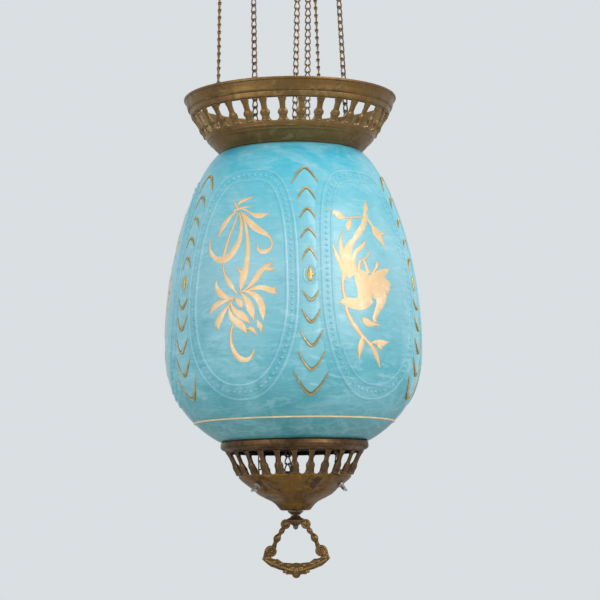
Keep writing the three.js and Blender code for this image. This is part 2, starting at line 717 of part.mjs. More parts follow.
// Pull ring: a bored bell cap, two beaded arms, scrolled corners and a leafy bar

// Points of the ring are [sideways, down] from the top of its neck, for its right half,
// in hundredths of its width and of its height. Radii are in hundredths of its height.
const wide = (share) => (RING_WIDTH * share) / 100;
const tall = (share) => (RING_HEIGHT * share) / 100;
const volute = [wide(15.1), tall(14.2)];
const scroll = [wide(36.1), tall(55.4)];

// Disc with its flat faces to the front and the back.
function ringScroll([x, down], radius, side) {
  return new THREE.CylinderGeometry(radius, radius, RING_THICK, 12).translate(side * x, 0, ringTopZ - down);
}

function ringArm(side) {
  const start = new THREE.Vector3(side * (volute[0] + tall(2.3)), 0, ringTopZ - volute[1] - tall(3.8));
  const finish = new THREE.Vector3(side * (scroll[0] - tall(3.8)), 0, ringTopZ - scroll[1] + tall(5.8));
  const length = start.distanceTo(finish);
  const beads = [
    [0, 0], [2.9, 0], [2.9, 0.1], [4.8, 0.17], [4.8, 0.24], [2.7, 0.32], [3.1, 0.4],
    [6.3, 0.55], [6.3, 0.62], [3.1, 0.8], [3.5, 1], [0, 1],
  ].map(([r, share]) => [tall(r), share * length]);
  const arm = turn(beads, 10);
  const way = finish.clone().sub(start).normalize();
  arm.applyQuaternion(new THREE.Quaternion().setFromUnitVectors(new THREE.Vector3(0, 0, 1), way));
  return arm.translate(start.x, start.y, start.z);
}

// The lower bar with its pointed corners, drawn to the right and mirrored.
function ringBar() {
  const edge = [
    [0, 100], [4.9, 97.3], [8.1, 92.3], [14.7, 91.9], [15.8, 86.5], [24.6, 83.1], [35.1, 79.6], [42.1, 76.2],
    [50, 68.5], [46.7, 61.5], [43.5, 51.5], [36.8, 57.3], [35.4, 65], [31.6, 69.6], [25.3, 68.1],
    [19.3, 74.6], [6.7, 76], [0, 74.6],
  ];
  const left = edge.slice(1, -1).map(([x, down]) => [-x, down]).reverse();
  const shape = outline([...edge, ...left].map(([x, down]) => [wide(x), ringTopZ - tall(down)]));
  return new THREE.ExtrudeGeometry(shape, {
    depth: RING_THICK - 1.6, bevelEnabled: true, bevelThickness: 0.8, bevelSize: 0.5, bevelSegments: 1,
    bevelOffset: -0.5,
  }).rotateX(Math.PI / 2).translate(0, (RING_THICK - 1.6) / 2, 0);
}

function pullRing() {
  const cap = turn([
    [0, bossFootZ], [tall(6.9), bossFootZ], [tall(8.1), ringTopZ - tall(11.9)], [tall(15.8), ringTopZ - tall(9.6)],
    [tall(16.5), ringTopZ - tall(7.7)], [tall(11.9), ringTopZ - tall(5)], [RING_NECK_R, ringTopZ - tall(1.9)],
    [RING_NECK_R, ringTopZ], [0, ringTopZ],
  ]);
  const bridge = new THREE.BoxGeometry(2 * volute[0], tall(6.9), tall(6.5))
    .translate(0, 0, ringTopZ - tall(11.9));
  const sides = [-1, 1].flatMap((side) => [
    ringScroll(volute, tall(7.5), side),
    ringScroll(scroll, tall(9.8), side),
    ringArm(side),
  ]);
  const whole = join(cap, bridge, ringBar(), ...sides);
  return cut(whole, post(ROD_R + RUN, bossFootZ - 1, ringTopZ + 1, BORE_ROUND));
}

// Assembly

place('hanger_loop', hangerLoop(), BRASS);
place('pulley_frame', pulleyFrame(), BRASS);
place('crown', crown(), BRASS, CROWN_TURN);
place('glass_shade', glassShade(), OPAL, GLASS_TURN);
place('bowl', bowl(), BRASS);
place('center_rod', centerRod(), DARK_BRASS);
place('rod_nut', rodNut(), STEEL);
place('neck_nut', neckNut(), DARK_BRASS);
place('pull_ring', pullRing(), GILT_BRASS);
place('candle_cup', candleCup(), BRASS);
place('drip_pan', dripPan(), BRASS);
place('candle', candle(), WAX);
place('wick', wick(), COTTON);

for (let i = 0; i < CHAINS; i += 1) {
  const pulleyAt = turned(PULLEY_AZIMUTH, i);
  const hookAt = turned(HOOK_AZIMUTH, i);
  const anchorAt = turned(ANCHOR_AZIMUTH, i);
  const number = i + 1;
  const fallTop = AXLE_Z - SEAT;
  const outerEnd = CROWN_FOOT_Z + EAR_ABOVE_FOOT + EAR_HEIGHT + SEAT;
  place(`axle_pin_${number}`, axlePin(), STEEL, pulleyAt);
  place(`pulley_${number}`, pulley(), BRASS, pulleyAt);
  place(`chain_wrap_${number}`, chainWrap(), CHAIN_BRASS, pulleyAt);
  place(`outer_chain_${number}`, ladderFall(
    polar(OUTER_FALL_R, pulleyAt, fallTop), polar(hookR, hookAt, outerEnd), pulleyAt), CHAIN_BRASS);
  place(`inner_chain_${number}`, ladderFall(
    polar(INNER_FALL_R, pulleyAt, fallTop), polar(anchorR, anchorAt, strapTopZ + SEAT), pulleyAt), CHAIN_BRASS);
  place(`crown_hook_${number}`, crownHook(), BRASS, hookAt);
  place(`shade_clip_${number}`, shadeClip(), BRASS, turned(HOOK_AZIMUTH, i + 0.5));
  place(`chain_strap_${number}`, chainStrap(), BRASS, anchorAt);
  place(`thumb_screw_${number}`, thumbScrew(), STEEL, anchorAt);
}

export default lamp;
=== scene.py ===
import json
import math

import bmesh
import bpy
from mathutils import Matrix, Vector


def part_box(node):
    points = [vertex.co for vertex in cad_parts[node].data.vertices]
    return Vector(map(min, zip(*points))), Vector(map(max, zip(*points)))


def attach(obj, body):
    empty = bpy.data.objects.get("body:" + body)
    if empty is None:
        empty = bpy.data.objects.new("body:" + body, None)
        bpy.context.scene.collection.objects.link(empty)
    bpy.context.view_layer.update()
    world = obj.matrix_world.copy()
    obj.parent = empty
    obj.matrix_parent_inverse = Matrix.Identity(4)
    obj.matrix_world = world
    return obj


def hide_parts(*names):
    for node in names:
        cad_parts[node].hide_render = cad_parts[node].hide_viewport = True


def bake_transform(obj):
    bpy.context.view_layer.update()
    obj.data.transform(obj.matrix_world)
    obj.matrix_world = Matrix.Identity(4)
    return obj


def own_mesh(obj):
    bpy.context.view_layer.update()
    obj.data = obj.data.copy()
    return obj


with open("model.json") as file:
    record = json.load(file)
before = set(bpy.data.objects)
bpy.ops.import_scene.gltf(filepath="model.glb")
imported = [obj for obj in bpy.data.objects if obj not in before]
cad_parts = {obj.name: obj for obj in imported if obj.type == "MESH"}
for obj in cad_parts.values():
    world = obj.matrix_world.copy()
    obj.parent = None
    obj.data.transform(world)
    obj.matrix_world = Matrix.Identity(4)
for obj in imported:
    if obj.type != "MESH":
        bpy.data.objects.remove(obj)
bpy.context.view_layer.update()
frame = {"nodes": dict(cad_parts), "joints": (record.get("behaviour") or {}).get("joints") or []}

# The pull-down hall lamp: pierced crown, painted opal shade, pierced bowl, ladder chains.
# Shapes are drawn in millimetres and scaled to metres when a piece is made. Azimuths are
# in degrees, 0 towards the front (-Y) and positive towards the right (+X).

MM = 0.001
NODES = frame["nodes"]
JOINTS = {joint["name"]: joint for joint in frame["joints"]}


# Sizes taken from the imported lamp. SEAT is the gap between pieces that sit on each other.

def node_span(name):
    """Lowest and highest height of a CAD node, in millimetres."""
    low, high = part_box(name)
    return low.z / MM, high.z / MM


SEAT = 0.3
CROWN_FOOT = node_span("crown")[0]
BOWL_FOOT, RING_TOP = node_span("bowl")
GLASS_LOW, GLASS_HIGH = node_span("glass_shade")
PULL_TOP = node_span("pull_ring")[1]
SHOULDER = CROWN_FOOT - SEAT
CHAINS = 3
CHAIN_STEP = 360 / CHAINS
AXLE_AT = [value / MM for value in JOINTS["pulley_1_spin"]["pos_m"]]
AXLE_Z = AXLE_AT[2]
AXLE_RING_R = math.hypot(AXLE_AT[0], AXLE_AT[1])

# Where the chains hang, the pitch of their links and the thickness of their wire
PULLEY_AZIMUTH = -78
HOOK_AZIMUTH = -73
ANCHOR_AZIMUTH = -50
OUTER_FALL_R = 58
INNER_FALL_R = 30.6
CHAIN_BEND_R = (OUTER_FALL_R - INNER_FALL_R) / 2
HOOK_R = 63.5
ANCHOR_R = 36.9
CHAIN_PITCH = 6.35
CHAIN_WIRE = 1.2

# Shade: its belly and how far that is up from the ring, its foot, its shoulder and its neck
BELLY_R = 107.2
BELLY_UP = 83.7
GLASS_WALL = 3.2
COLLAR_R = 58.4
GLASS_FOOT_R = 61.6
GLASS_SHOULDER_R = 60
NECK_R = 56.4

# How round the belly starts, and how fully it closes, below it and above it
FOOT_SWELL = (2.7, 0.885)
SHOULDER_SWELL = (1.87, 0.735)

# Openings of the crown's and the bowl's gallery, and the thickness of their wall
CROWN_BAYS = 32
CROWN_TURN = 7
BOWL_BAYS = 24
GALLERY_WALL = 1.3

# Camera that took the photograph, in millimetres from the hook, degrees and pixels
CAMERA_AWAY = 1760
CAMERA_SIDE = 6.2
CAMERA_HEIGHT = -605
CAMERA_PITCH = 6.74
CAMERA_ROLL = -0.8
PHOTO_SIDE = 600
FOCAL_PIXELS = 2111


# Points, frames and smoothing

def polar(radius, azimuth, z):
    """Point at a distance from the lamp's axis."""
    angle = math.radians(azimuth)
    return Vector((radius * math.sin(angle), -radius * math.cos(angle), z))


def at_share(table, share):
    """Value at a share between 0 and 1 in a table of (share, value) rows."""
    for (s0, v0), (s1, v1) in zip(table, table[1:]):
        if share <= s1:
            return v0 + (v1 - v0) * (share - s0) / (s1 - s0)
    return table[-1][1]


def eased(points, reach, steps=3):
    """Rounds the inner corners of an open outline with short curves."""
    points = [Vector(point) for point in points]
    out = [points[0]]
    for before, corner, after in zip(points, points[1:], points[2:]):
        back = before - corner
        ahead = after - corner
        start = corner + back * min(0.5, reach / max(back.length, 1e-6))
        end = corner + ahead * min(0.5, reach / max(ahead.length, 1e-6))
        for step in range(steps + 1):
            t = step / steps
            out.append(start * (1 - t) ** 2 + corner * 2 * t * (1 - t) + end * t * t)
    out.append(points[-1])
    return out


def smooth_line(points, per):
    """A smooth curve through given points of any number of values, per steps to a point."""
    last = len(points) - 1
    line = []
    for i in range(last):
        p0, p1, p2, p3 = (points[max(0, min(last, i + k))] for k in (-1, 0, 1, 2))
        for step in range(per):
            t = step / per
            line.append([
                0.5 * (2 * b + (c - a) * t + (2 * a - 5 * b + 4 * c - d) * t * t
                       + (3 * b - a - 3 * c + d) * t ** 3)
                for a, b, c, d in zip(p0, p1, p2, p3)
            ])
    line.append(list(points[last]))
    return line


# Making pieces

def make_piece(name, bm, finish, body, replaces=(), sharp=40, rides=True):
    """Turns a bmesh drawn in millimetres into a piece of the lamp."""
    bmesh.ops.scale(bm, vec=(MM, MM, MM), verts=bm.verts)
    mesh = bpy.data.meshes.new(name)
    bm.to_mesh(mesh)
    bm.free()
    mesh.shade_smooth()
    mesh.set_sharp_from_angle(angle=math.radians(sharp))
    mesh.materials.append(finish)
    piece = bpy.data.objects.new(name, mesh)
    bpy.context.scene.collection.objects.link(piece)
    if rides:
        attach(piece, body)
    if replaces:
        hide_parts(*replaces)
    return piece


def merged(bm):
    """Joins points that fall together and turns the faces outwards."""
    bmesh.ops.remove_doubles(bm, verts=bm.verts, dist=0.002)
    bmesh.ops.recalc_face_normals(bm, faces=bm.faces)
    return bm


def turned(profile, steps):
    """Turns a closed outline of (radius, height) points about the lamp's axis."""
    bm = bmesh.new()
    verts = [bm.verts.new((radius, 0, z)) for radius, z in profile]
    edges = [bm.edges.new(pair) for pair in zip(verts, verts[1:] + verts[:1])]
    bmesh.ops.spin(bm, geom=verts + edges, cent=(0, 0, 0), axis=(0, 0, 1), dvec=(0, 0, 0),
                   angle=2 * math.pi, steps=steps, use_merge=True)
    return merged(bm)


def added(bm, other):
    """Puts the geometry of another bmesh into this one."""
    mesh = bpy.data.meshes.new("joined")
    other.to_mesh(mesh)
    other.free()
    bm.from_mesh(mesh)
    bpy.data.meshes.remove(mesh)


def rotated(bm, degrees, axis="Z"):
    """Turns the whole bmesh about an axis through the origin."""
    matrix = Matrix.Rotation(math.radians(degrees), 3, axis)
    bmesh.ops.rotate(bm, cent=(0, 0, 0), matrix=matrix, verts=bm.verts)
    return bm


def thickened(bm, faces, move):
    """Extrudes flat faces and moves the new ones, which gives the shape its thickness."""
    walls = bmesh.ops.extrude_face_region(bm, geom=faces)
    far = [item for item in walls["geom"] if isinstance(item, bmesh.types.BMVert)]
    bmesh.ops.translate(bm, vec=move, verts=far)


def copied_round(bm, count):
    """Repeats the whole bmesh round the lamp's axis until there are count of it."""
    geom = bm.verts[:] + bm.edges[:] + bm.faces[:]
    bmesh.ops.spin(bm, geom=geom, cent=(0, 0, 0), axis=(0, 0, 1), dvec=(0, 0, 0),
                   angle=2 * math.pi * (count - 1) / count, steps=count - 1, use_duplicate=True)
    return bm


def set_at(bm, azimuths):
    """Repeats what is drawn at azimuth 0 at each of the azimuths."""
    whole = bmesh.new()
    for azimuth in azimuths:
        added(whole, rotated(bm.copy(), azimuth))
    bm.free()
    return whole


def tube(path, radii, sides, up=(0, 0, 1), closed=False):
    """A tube along a path of points. Its radius is a number or one number per point."""
    count = len(path)
    points = [Vector(point) for point in path]
    if not hasattr(radii, "__len__"):
        radii = [radii] * count
    bm = bmesh.new()
    rows = count if closed else count - 1
    bmesh.ops.create_grid(bm, x_segments=rows, y_segments=sides, size=1)
    frames = []
    side = Vector(up)
    for i in range(count):
        if closed:
            along = points[(i + 1) % count] - points[i - 1]
        else:
            along = points[min(i + 1, count - 1)] - points[max(i - 1, 0)]
        along.normalize()
        side = side - along * side.dot(along)
        if side.length < 1e-5:
            side = along.orthogonal()
        side.normalize()
        frames.append((side.copy(), along.cross(side)))
    for vert in bm.verts:
        row = round((vert.co.x + 1) / 2 * rows) % count
        angle = (vert.co.y + 1) * math.pi
        normal, across = frames[row]
        radius = radii[row]
        vert.co = (points[row] + normal * (radius * math.sin(angle))
                   + across * (radius * math.cos(angle)))
    bmesh.ops.remove_doubles(bm, verts=bm.verts, dist=1e-4)
    if not closed:
        rims = [edge for edge in bm.edges if edge.is_boundary]
        bmesh.ops.holes_fill(bm, edges=rims, sides=0)
    bmesh.ops.recalc_face_normals(bm, faces=bm.faces)
    return bm


# Shader groups shared by the finishes

def new_group(name, inputs, outputs):
    """Shader group with its named sockets: the tree, its entry and its way out."""
    tree = bpy.data.node_groups.new(name, "ShaderNodeTree")
    for label, kind, value in inputs:
        socket = tree.interface.new_socket(label, in_out="INPUT", socket_type=kind)
        socket.default_value = value
    for label, kind in outputs:
        tree.interface.new_socket(label, in_out="OUTPUT", socket_type=kind)
    entry = tree.nodes.new("NodeGroupInput")
    leave = tree.nodes.new("NodeGroupOutput")
    return tree, entry, leave


def feed(tree, socket, value):
    """Gives a socket a number or a colour, or links another socket to it."""
    if isinstance(value, (int, float)):
        socket.default_value = value
    elif isinstance(value, tuple):
        socket.default_value = (*value, 1)
    else:
        tree.links.new(value, socket)


def noise(tree, scale, detail, roughness, distortion, place):
    """Soft noise, its scale in features to the metre."""
    node = tree.nodes.new("ShaderNodeTexNoise")
    node.inputs["Detail"].default_value = detail
    node.inputs["Roughness"].default_value = roughness
    node.inputs["Distortion"].default_value = distortion
    feed(tree, node.inputs["Scale"], scale)
    tree.links.new(place, node.inputs["Vector"])
    return node.outputs["Fac"]


def stepped(tree, value, low, high, smooth=True):
    """Maps a value from low..high to 0..1, softly unless smooth is off."""
    node = tree.nodes.new("ShaderNodeMapRange")
    node.interpolation_type = "SMOOTHSTEP" if smooth else "LINEAR"
    node.inputs["From Min"].default_value = low
    node.inputs["From Max"].default_value = high
    tree.links.new(value, node.inputs["Value"])
    return node.outputs["Result"]


def maths(tree, operation, first, second):
    node = tree.nodes.new("ShaderNodeMath")
    node.operation = operation
    feed(tree, node.inputs[0], first)
    feed(tree, node.inputs[1], second)
    return node.outputs["Value"]


def times(tree, first, second):
    return maths(tree, "MULTIPLY", first, second)


def plus(tree, first, second):
    return maths(tree, "ADD", first, second)


def mixed(tree, share, first, second):
    """Mixes two colours by a share. Each may be a socket or a colour."""
    node = tree.nodes.new("ShaderNodeMix")
    node.data_type = "RGBA"
    feed(tree, node.inputs[0], share)
    feed(tree, node.inputs[6], first)
    feed(tree, node.inputs[7], second)
    return node.outputs[2]


def object_place(tree):
    """Object coordinates, which stay with a piece when it moves."""
    return tree.nodes.new("ShaderNodeTexCoord").outputs["Object"]


SKIN_OUTPUTS = [
    ("Color", "NodeSocketColor"), ("Roughness", "NodeSocketFloat"), ("Height", "NodeSocketFloat"),
]


def make_tarnish_group():
    """Aged brass: broad patches, rubbed high spots, dark pits and a grain."""
    tree, entry, leave = new_group("tarnish", [
        ("Base", "NodeSocketColor", (0.2, 0.13, 0.06, 1)),
        ("Dark", "NodeSocketColor", (0.05, 0.035, 0.02, 1)),
        ("Worn", "NodeSocketColor", (0.4, 0.3, 0.16, 1)),
        ("Patch Scale", "NodeSocketFloat", 60.0),
        ("Darkness", "NodeSocketFloat", 0.6),
        ("Wear", "NodeSocketFloat", 0.5),
    ], SKIN_OUTPUTS)
    place = object_place(tree)
    scale = entry.outputs["Patch Scale"]
    patches = noise(tree, scale, 6, 0.62, 0.4, place)
    streaks = noise(tree, times(tree, scale, 3.3), 4, 0.6, 0.8, place)
    grain = noise(tree, times(tree, scale, 22.0), 3, 0.7, 0.0, place)
    dark = times(tree, stepped(tree, patches, 0.45, 0.68), entry.outputs["Darkness"])
    worn = times(tree, stepped(tree, streaks, 0.5, 0.72), entry.outputs["Wear"])
    point = tree.nodes.new("ShaderNodeNewGeometry").outputs["Pointiness"]
    edges = times(tree, stepped(tree, point, 0.52, 0.62), 0.7)
    hollows = times(tree, stepped(tree, point, 0.49, 0.42), 0.75)
    pits = times(tree, stepped(tree, grain, 0.6, 0.7), 0.55)
    color = mixed(tree, dark, entry.outputs["Base"], entry.outputs["Dark"])
    color = mixed(tree, worn, color, entry.outputs["Worn"])
    color = mixed(tree, edges, color, entry.outputs["Worn"])
    color = mixed(tree, hollows, color, entry.outputs["Dark"])
    color = mixed(tree, pits, color, entry.outputs["Dark"])
    tree.links.new(color, leave.inputs["Color"])
    rough = plus(tree, times(tree, dark, 0.3), times(tree, grain, 0.3))
    tree.links.new(plus(tree, rough, 0.22), leave.inputs["Roughness"])
    height = plus(tree, times(tree, streaks, 0.8), times(tree, grain, 0.35))
    tree.links.new(height, leave.inputs["Height"])
    return tree


def make_stain_group():
    """Sparse spots of one colour over another."""
    tree, entry, leave = new_group("stain", [
        ("Under", "NodeSocketColor", (0.2, 0.13, 0.06, 1)),
        ("Stain", "NodeSocketColor", (0.05, 0.3, 0.2, 1)),
        ("Scale", "NodeSocketFloat", 90.0),
        ("Threshold", "NodeSocketFloat", 0.7),
        ("Strength", "NodeSocketFloat", 0.8),
    ], [("Color", "NodeSocketColor"), ("Mask", "NodeSocketFloat")])
    spots = noise(tree, entry.outputs["Scale"], 5, 0.6, 0.6, object_place(tree))
    over = maths(tree, "SUBTRACT", spots, entry.outputs["Threshold"])
    mask = times(tree, stepped(tree, over, 0.0, 0.05), entry.outputs["Strength"])
    color = mixed(tree, mask, entry.outputs["Under"], entry.outputs["Stain"])
    tree.links.new(color, leave.inputs["Color"])
    tree.links.new(mask, leave.inputs["Mask"])
    return tree


TARNISH = make_tarnish_group()
STAIN = make_stain_group()


def new_material(name, **values):
    """Material with values set on its shader's own sockets, _ standing for a space."""
    material = bpy.data.materials.new(name)
    material.use_nodes = True
    tree = material.node_tree
    shader = tree.nodes["Principled BSDF"]
    for label, value in values.items():
        shader.inputs[label.replace("_", " ")].default_value = value
    return material, tree, shader


def placed_group(tree, group, **values):
    """A shared effect with this material's own values."""
    node = tree.nodes.new("ShaderNodeGroup")
    node.node_tree = group
    for label, value in values.items():
        feed(tree, node.inputs[label.replace("_", " ")], value)
    return node


def bumped(tree, shader, height, distance, strength):
    """Fine relief. Its distance is in metres."""
    bump = tree.nodes.new("ShaderNodeBump")
    bump.inputs["Strength"].default_value = strength
    bump.inputs["Distance"].default_value = distance
    tree.links.new(height, bump.inputs["Height"])
    tree.links.new(bump.outputs["Normal"], shader.inputs["Normal"])


def aged_metal(name, tones, patch, darkness, wear, stain=None):
    """Metal in three tones: its own, where it is dark with age and where it is rubbed."""
    base, dark, worn = tones
    material, tree, shader = new_material(name, Metallic=0.8)
    skin = placed_group(tree, TARNISH, Base=base, Dark=dark, Worn=worn, Patch_Scale=patch,
                        Darkness=darkness, Wear=wear)
    color = skin.outputs["Color"]
    if stain:
        color = placed_group(tree, STAIN, Under=color, **stain).outputs["Color"]
    tree.links.new(color, shader.inputs["Base Color"])
    tree.links.new(skin.outputs["Roughness"], shader.inputs["Roughness"])
    bumped(tree, shader, skin.outputs["Height"], distance=0.0004, strength=0.6)
    return material


VERDIGRIS = {"Stain": (0.06, 0.33, 0.24), "Scale": 120.0, "Threshold": 0.71, "Strength": 0.7}
SOOT = {"Stain": (0.03, 0.022, 0.014), "Scale": 75.0, "Threshold": 0.585, "Strength": 0.75}

CROWN_BRASS = aged_metal(
    "crown_brass", ((0.2, 0.112, 0.036), (0.085, 0.052, 0.02), (0.36, 0.235, 0.1)),
    patch=45.0, darkness=0.55, wear=0.45, stain=VERDIGRIS)
BOWL_BRASS = aged_metal(
    "bowl_brass", ((0.17, 0.082, 0.014), (0.04, 0.02, 0.007), (0.31, 0.18, 0.045)),
    patch=55.0, darkness=0.75, wear=0.4, stain=SOOT)
RIM_BRASS = aged_metal(
    "rim_brass", ((0.11, 0.056, 0.02), (0.03, 0.015, 0.008), (0.25, 0.15, 0.07)),
    patch=55.0, darkness=0.8, wear=0.4, stain=SOOT)
RING_BRASS = aged_metal(
    "ring_brass", ((0.12, 0.06, 0.018), (0.028, 0.012, 0.006), (0.42, 0.27, 0.11)),
    patch=80.0, darkness=0.9, wear=0.45)
HUB_BRASS = aged_metal(
    "hub_brass", ((0.23, 0.15, 0.07), (0.08, 0.055, 0.03), (0.4, 0.29, 0.15)),
    patch=50.0, darkness=0.5, wear=0.45)
CHAIN_BRASS = aged_metal(
    "chain_brass", ((0.115, 0.068, 0.034), (0.035, 0.02, 0.012), (0.28, 0.19, 0.11)),
    patch=140.0, darkness=0.7, wear=0.5)
DARK_BRASS = aged_metal(
    "dark_brass", ((0.07, 0.05, 0.032), (0.025, 0.018, 0.012), (0.2, 0.15, 0.09)),
    patch=80.0, darkness=0.6, wear=0.35)
SCREW_STEEL = aged_metal(
    "screw_steel", ((0.3, 0.27, 0.24), (0.1, 0.085, 0.07), (0.5, 0.47, 0.43)),
    patch=160.0, darkness=0.5, wear=0.5)
JEWEL_GILT = aged_metal(
    "jewel_gilt", ((0.62, 0.42, 0.12), (0.3, 0.17, 0.05), (0.85, 0.68, 0.35)),
    patch=150.0, darkness=0.3, wear=0.5)


# Tone of the glass by share of its height, deeper under the crown and darker at the foot, partly painted
# shade there; and the tones laid over it
GLASS_TONES_AND_SHADE = [
    (0.0, (0.02, 0.2, 0.21)), (0.05, (0.03, 0.235, 0.255)), (0.075, (0.05, 0.29, 0.325)),
    (0.2, (0.105, 0.42, 0.49)), (0.55, (0.25, 0.545, 0.63)), (0.85, (0.11, 0.52, 0.64)),
    (0.94, (0.03, 0.47, 0.63)), (1.0, (0.01, 0.38, 0.54)),
]
PATCH_TONE = (0.3, 0.62, 0.7)
STREAK_TONE = (0.42, 0.7, 0.76)
FOLD_TONE = (0.07, 0.33, 0.39)
WISP_TONE = (0.42, 0.74, 0.8)
VEIN_TONE = (0.55, 0.8, 0.84)
# Paler tone laid on raised relief, a painted highlight
RAISED_HIGHLIGHT_TONE = (0.45, 0.78, 0.86)


def tone_ramp(tree, share, tones):
    """Colour from a table of (share, colour) rows."""
    ramp = tree.nodes.new("ShaderNodeValToRGB")
    tree.links.new(share, ramp.inputs["Fac"])
    elements = ramp.color_ramp.elements
    for element, (position, color) in zip(elements, (tones[0], tones[-1])):
        element.position, element.color = position, (*color, 1)
    for position, color in tones[1:-1]:
        elements.new(position).color = (*color, 1)
    return ramp.outputs["Color"]


def vein_lines(tree, place, flow):
    """Thin lines between cells, bent by noise."""
    warp = tree.nodes.new("ShaderNodeTexNoise")
    warp.inputs["Scale"].default_value = 48
    warp.inputs["Detail"].default_value = 4
    tree.links.new(place, warp.inputs["Vector"])
    bent = tree.nodes.new("ShaderNodeVectorMath")
    bent.operation = "MULTIPLY_ADD"
    bent.inputs[1].default_value = (0.028, 0.028, 0.028)
    tree.links.new(warp.outputs["Color"], bent.inputs[0])
    tree.links.new(flow, bent.inputs[2])
    cells = tree.nodes.new("ShaderNodeTexVoronoi")
    cells.feature = "DISTANCE_TO_EDGE"
    cells.inputs["Scale"].default_value = 38
    tree.links.new(bent.outputs["Vector"], cells.inputs["Vector"])
    return stepped(tree, cells.outputs["Distance"], 0.12, 0.0)


def make_marbling_group():
    """Turquoise opal with pale folds and wisps, deeper under the crown and darker at the foot, partly
    painted shade there, and paler on raised relief as a painted highlight.
    """
    tree, entry, leave = new_group("marbling", [("Pale", "NodeSocketFloat", 0.0)], SKIN_OUTPUTS)
    place = object_place(tree)
    split = tree.nodes.new("ShaderNodeSeparateXYZ")
    tree.links.new(place, split.inputs["Vector"])
    rise = stepped(tree, split.outputs["Z"], RING_TOP * MM, SHOULDER * MM, smooth=False)
    # Towards the foot the dark folds grow and the pale patches fade: partly the glass's own tone, partly
    # painted shade.
    low = stepped(tree, rise, 0.75, 0.15)
    above_foot = plus(tree, times(tree, stepped(tree, rise, 0.02, 0.2), 0.7), 0.3)
    flat = tree.nodes.new("ShaderNodeMapping")
    flat.inputs["Scale"].default_value = (1, 1, 3.4)
    tree.links.new(place, flat.inputs["Vector"])
    flow = flat.outputs["Vector"]
    clouds = noise(tree, 17.0, 5, 0.6, 1.2, place)
    streaks = noise(tree, 26.0, 5, 0.6, 2.8, flow)
    wisps = noise(tree, 62.0, 3, 0.55, 2.4, flow)
    patches = times(tree, stepped(tree, clouds, 0.4, 0.66), 0.5)
    pale_share = plus(tree, times(tree, low, 0.06), 0.34)
    pale_streaks = times(tree, stepped(tree, streaks, 0.52, 0.68), pale_share)
    dark_share = plus(tree, times(tree, low, 0.28), 0.2)
    dark_folds = times(tree, stepped(tree, streaks, 0.47, 0.32), dark_share)
    fine_wisps = times(tree, stepped(tree, wisps, 0.52, 0.66), 0.1)
    veins = times(tree, vein_lines(tree, place, flow), stepped(tree, clouds, 0.38, 0.62))
    color = tone_ramp(tree, rise, GLASS_TONES_AND_SHADE)
    for share, tone in (
        (times(tree, patches, above_foot), PATCH_TONE),
        (times(tree, pale_streaks, above_foot), STREAK_TONE),
        (dark_folds, FOLD_TONE),
        (fine_wisps, WISP_TONE),
        (times(tree, veins, 0.1), VEIN_TONE),
        # painted highlight on raised relief
        (entry.outputs["Pale"], RAISED_HIGHLIGHT_TONE),
    ):
        color = mixed(tree, share, color, tone)
    tree.links.new(color, leave.inputs["Color"])
    tree.links.new(plus(tree, times(tree, clouds, 0.2), 0.24), leave.inputs["Roughness"])
    tree.links.new(plus(tree, clouds, times(tree, streaks, 0.6)), leave.inputs["Height"])
    return tree


MARBLING = make_marbling_group()
DARK_SPECKS = {"Stain": (0.02, 0.16, 0.22), "Scale": 240.0, "Threshold": 0.72, "Strength": 0.6}


def opal_glass(name, pale):
    """Opal glass, paler where it is raised: a painted highlight on the relief."""
    material, tree, shader = new_material(name, Coat_Weight=0.2, Coat_Roughness=0.16)
    marbled = placed_group(tree, MARBLING, Pale=pale)
    specked = placed_group(tree, STAIN, Under=marbled.outputs["Color"], **DARK_SPECKS)
    tree.links.new(specked.outputs["Color"], shader.inputs["Base Color"])
    tree.links.new(marbled.outputs["Roughness"], shader.inputs["Roughness"])
    bumped(tree, shader, marbled.outputs["Height"], distance=0.0007, strength=0.4)
    return material


def gilt_paint(name, base, worn, metallic, scale):
    """Fired gilding, thinner and paler in patches."""
    material, tree, shader = new_material(name, Metallic=metallic, Roughness=0.4)
    place = object_place(tree)
    thin = noise(tree, scale, 5, 0.65, 0.5, place)
    rubbed = stepped(tree, thin, 0.46, 0.68)
    tree.links.new(mixed(tree, rubbed, base, worn), shader.inputs["Base Color"])
    tree.links.new(plus(tree, times(tree, thin, 0.3), 0.25), shader.inputs["Roughness"])
    brushed = noise(tree, scale * 6, 2, 0.5, 0.0, place)
    bumped(tree, shader, brushed, distance=0.00015, strength=0.4)
    return material


MOTIF_GILT = gilt_paint("motif_gilt", (0.82, 0.56, 0.3), (0.88, 0.72, 0.47), metallic=0.12, scale=90.0)
EDGE_GILT = gilt_paint("edge_gilt", (0.5, 0.34, 0.15), (0.66, 0.5, 0.28), metallic=0.2, scale=140.0)
LINE_GILT = gilt_paint("line_gilt", (0.46, 0.27, 0.06), (0.68, 0.5, 0.24), metallic=0.35, scale=120.0)


def candle_wax():
    """Yellowed wax that lets a little light in."""
    material, tree, shader = new_material("candle_wax", Roughness=0.5, Subsurface_Weight=0.15,
                                          Subsurface_Radius=(0.004, 0.003, 0.002))
    clouds = noise(tree, 70.0, 4, 0.6, 0.3, object_place(tree))
    color = mixed(tree, clouds, (0.82, 0.74, 0.58), (0.9, 0.85, 0.72))
    tree.links.new(color, shader.inputs["Base Color"])
    bumped(tree, shader, clouds, distance=0.0005, strength=0.4)
    return material


def burnt_cotton():
    """Charred cotton fibres."""
    material, tree, shader = new_material("burnt_cotton", Roughness=0.9)
    fibres = noise(tree, 900.0, 3, 0.6, 0.2, object_place(tree))
    color = mixed(tree, fibres, (0.02, 0.017, 0.014), (0.09, 0.075, 0.06))
    tree.links.new(color, shader.inputs["Base Color"])
    bumped(tree, shader, fibres, distance=0.0002, strength=0.8)
    return material


OPAL = opal_glass("opal_glass", pale=0.0)
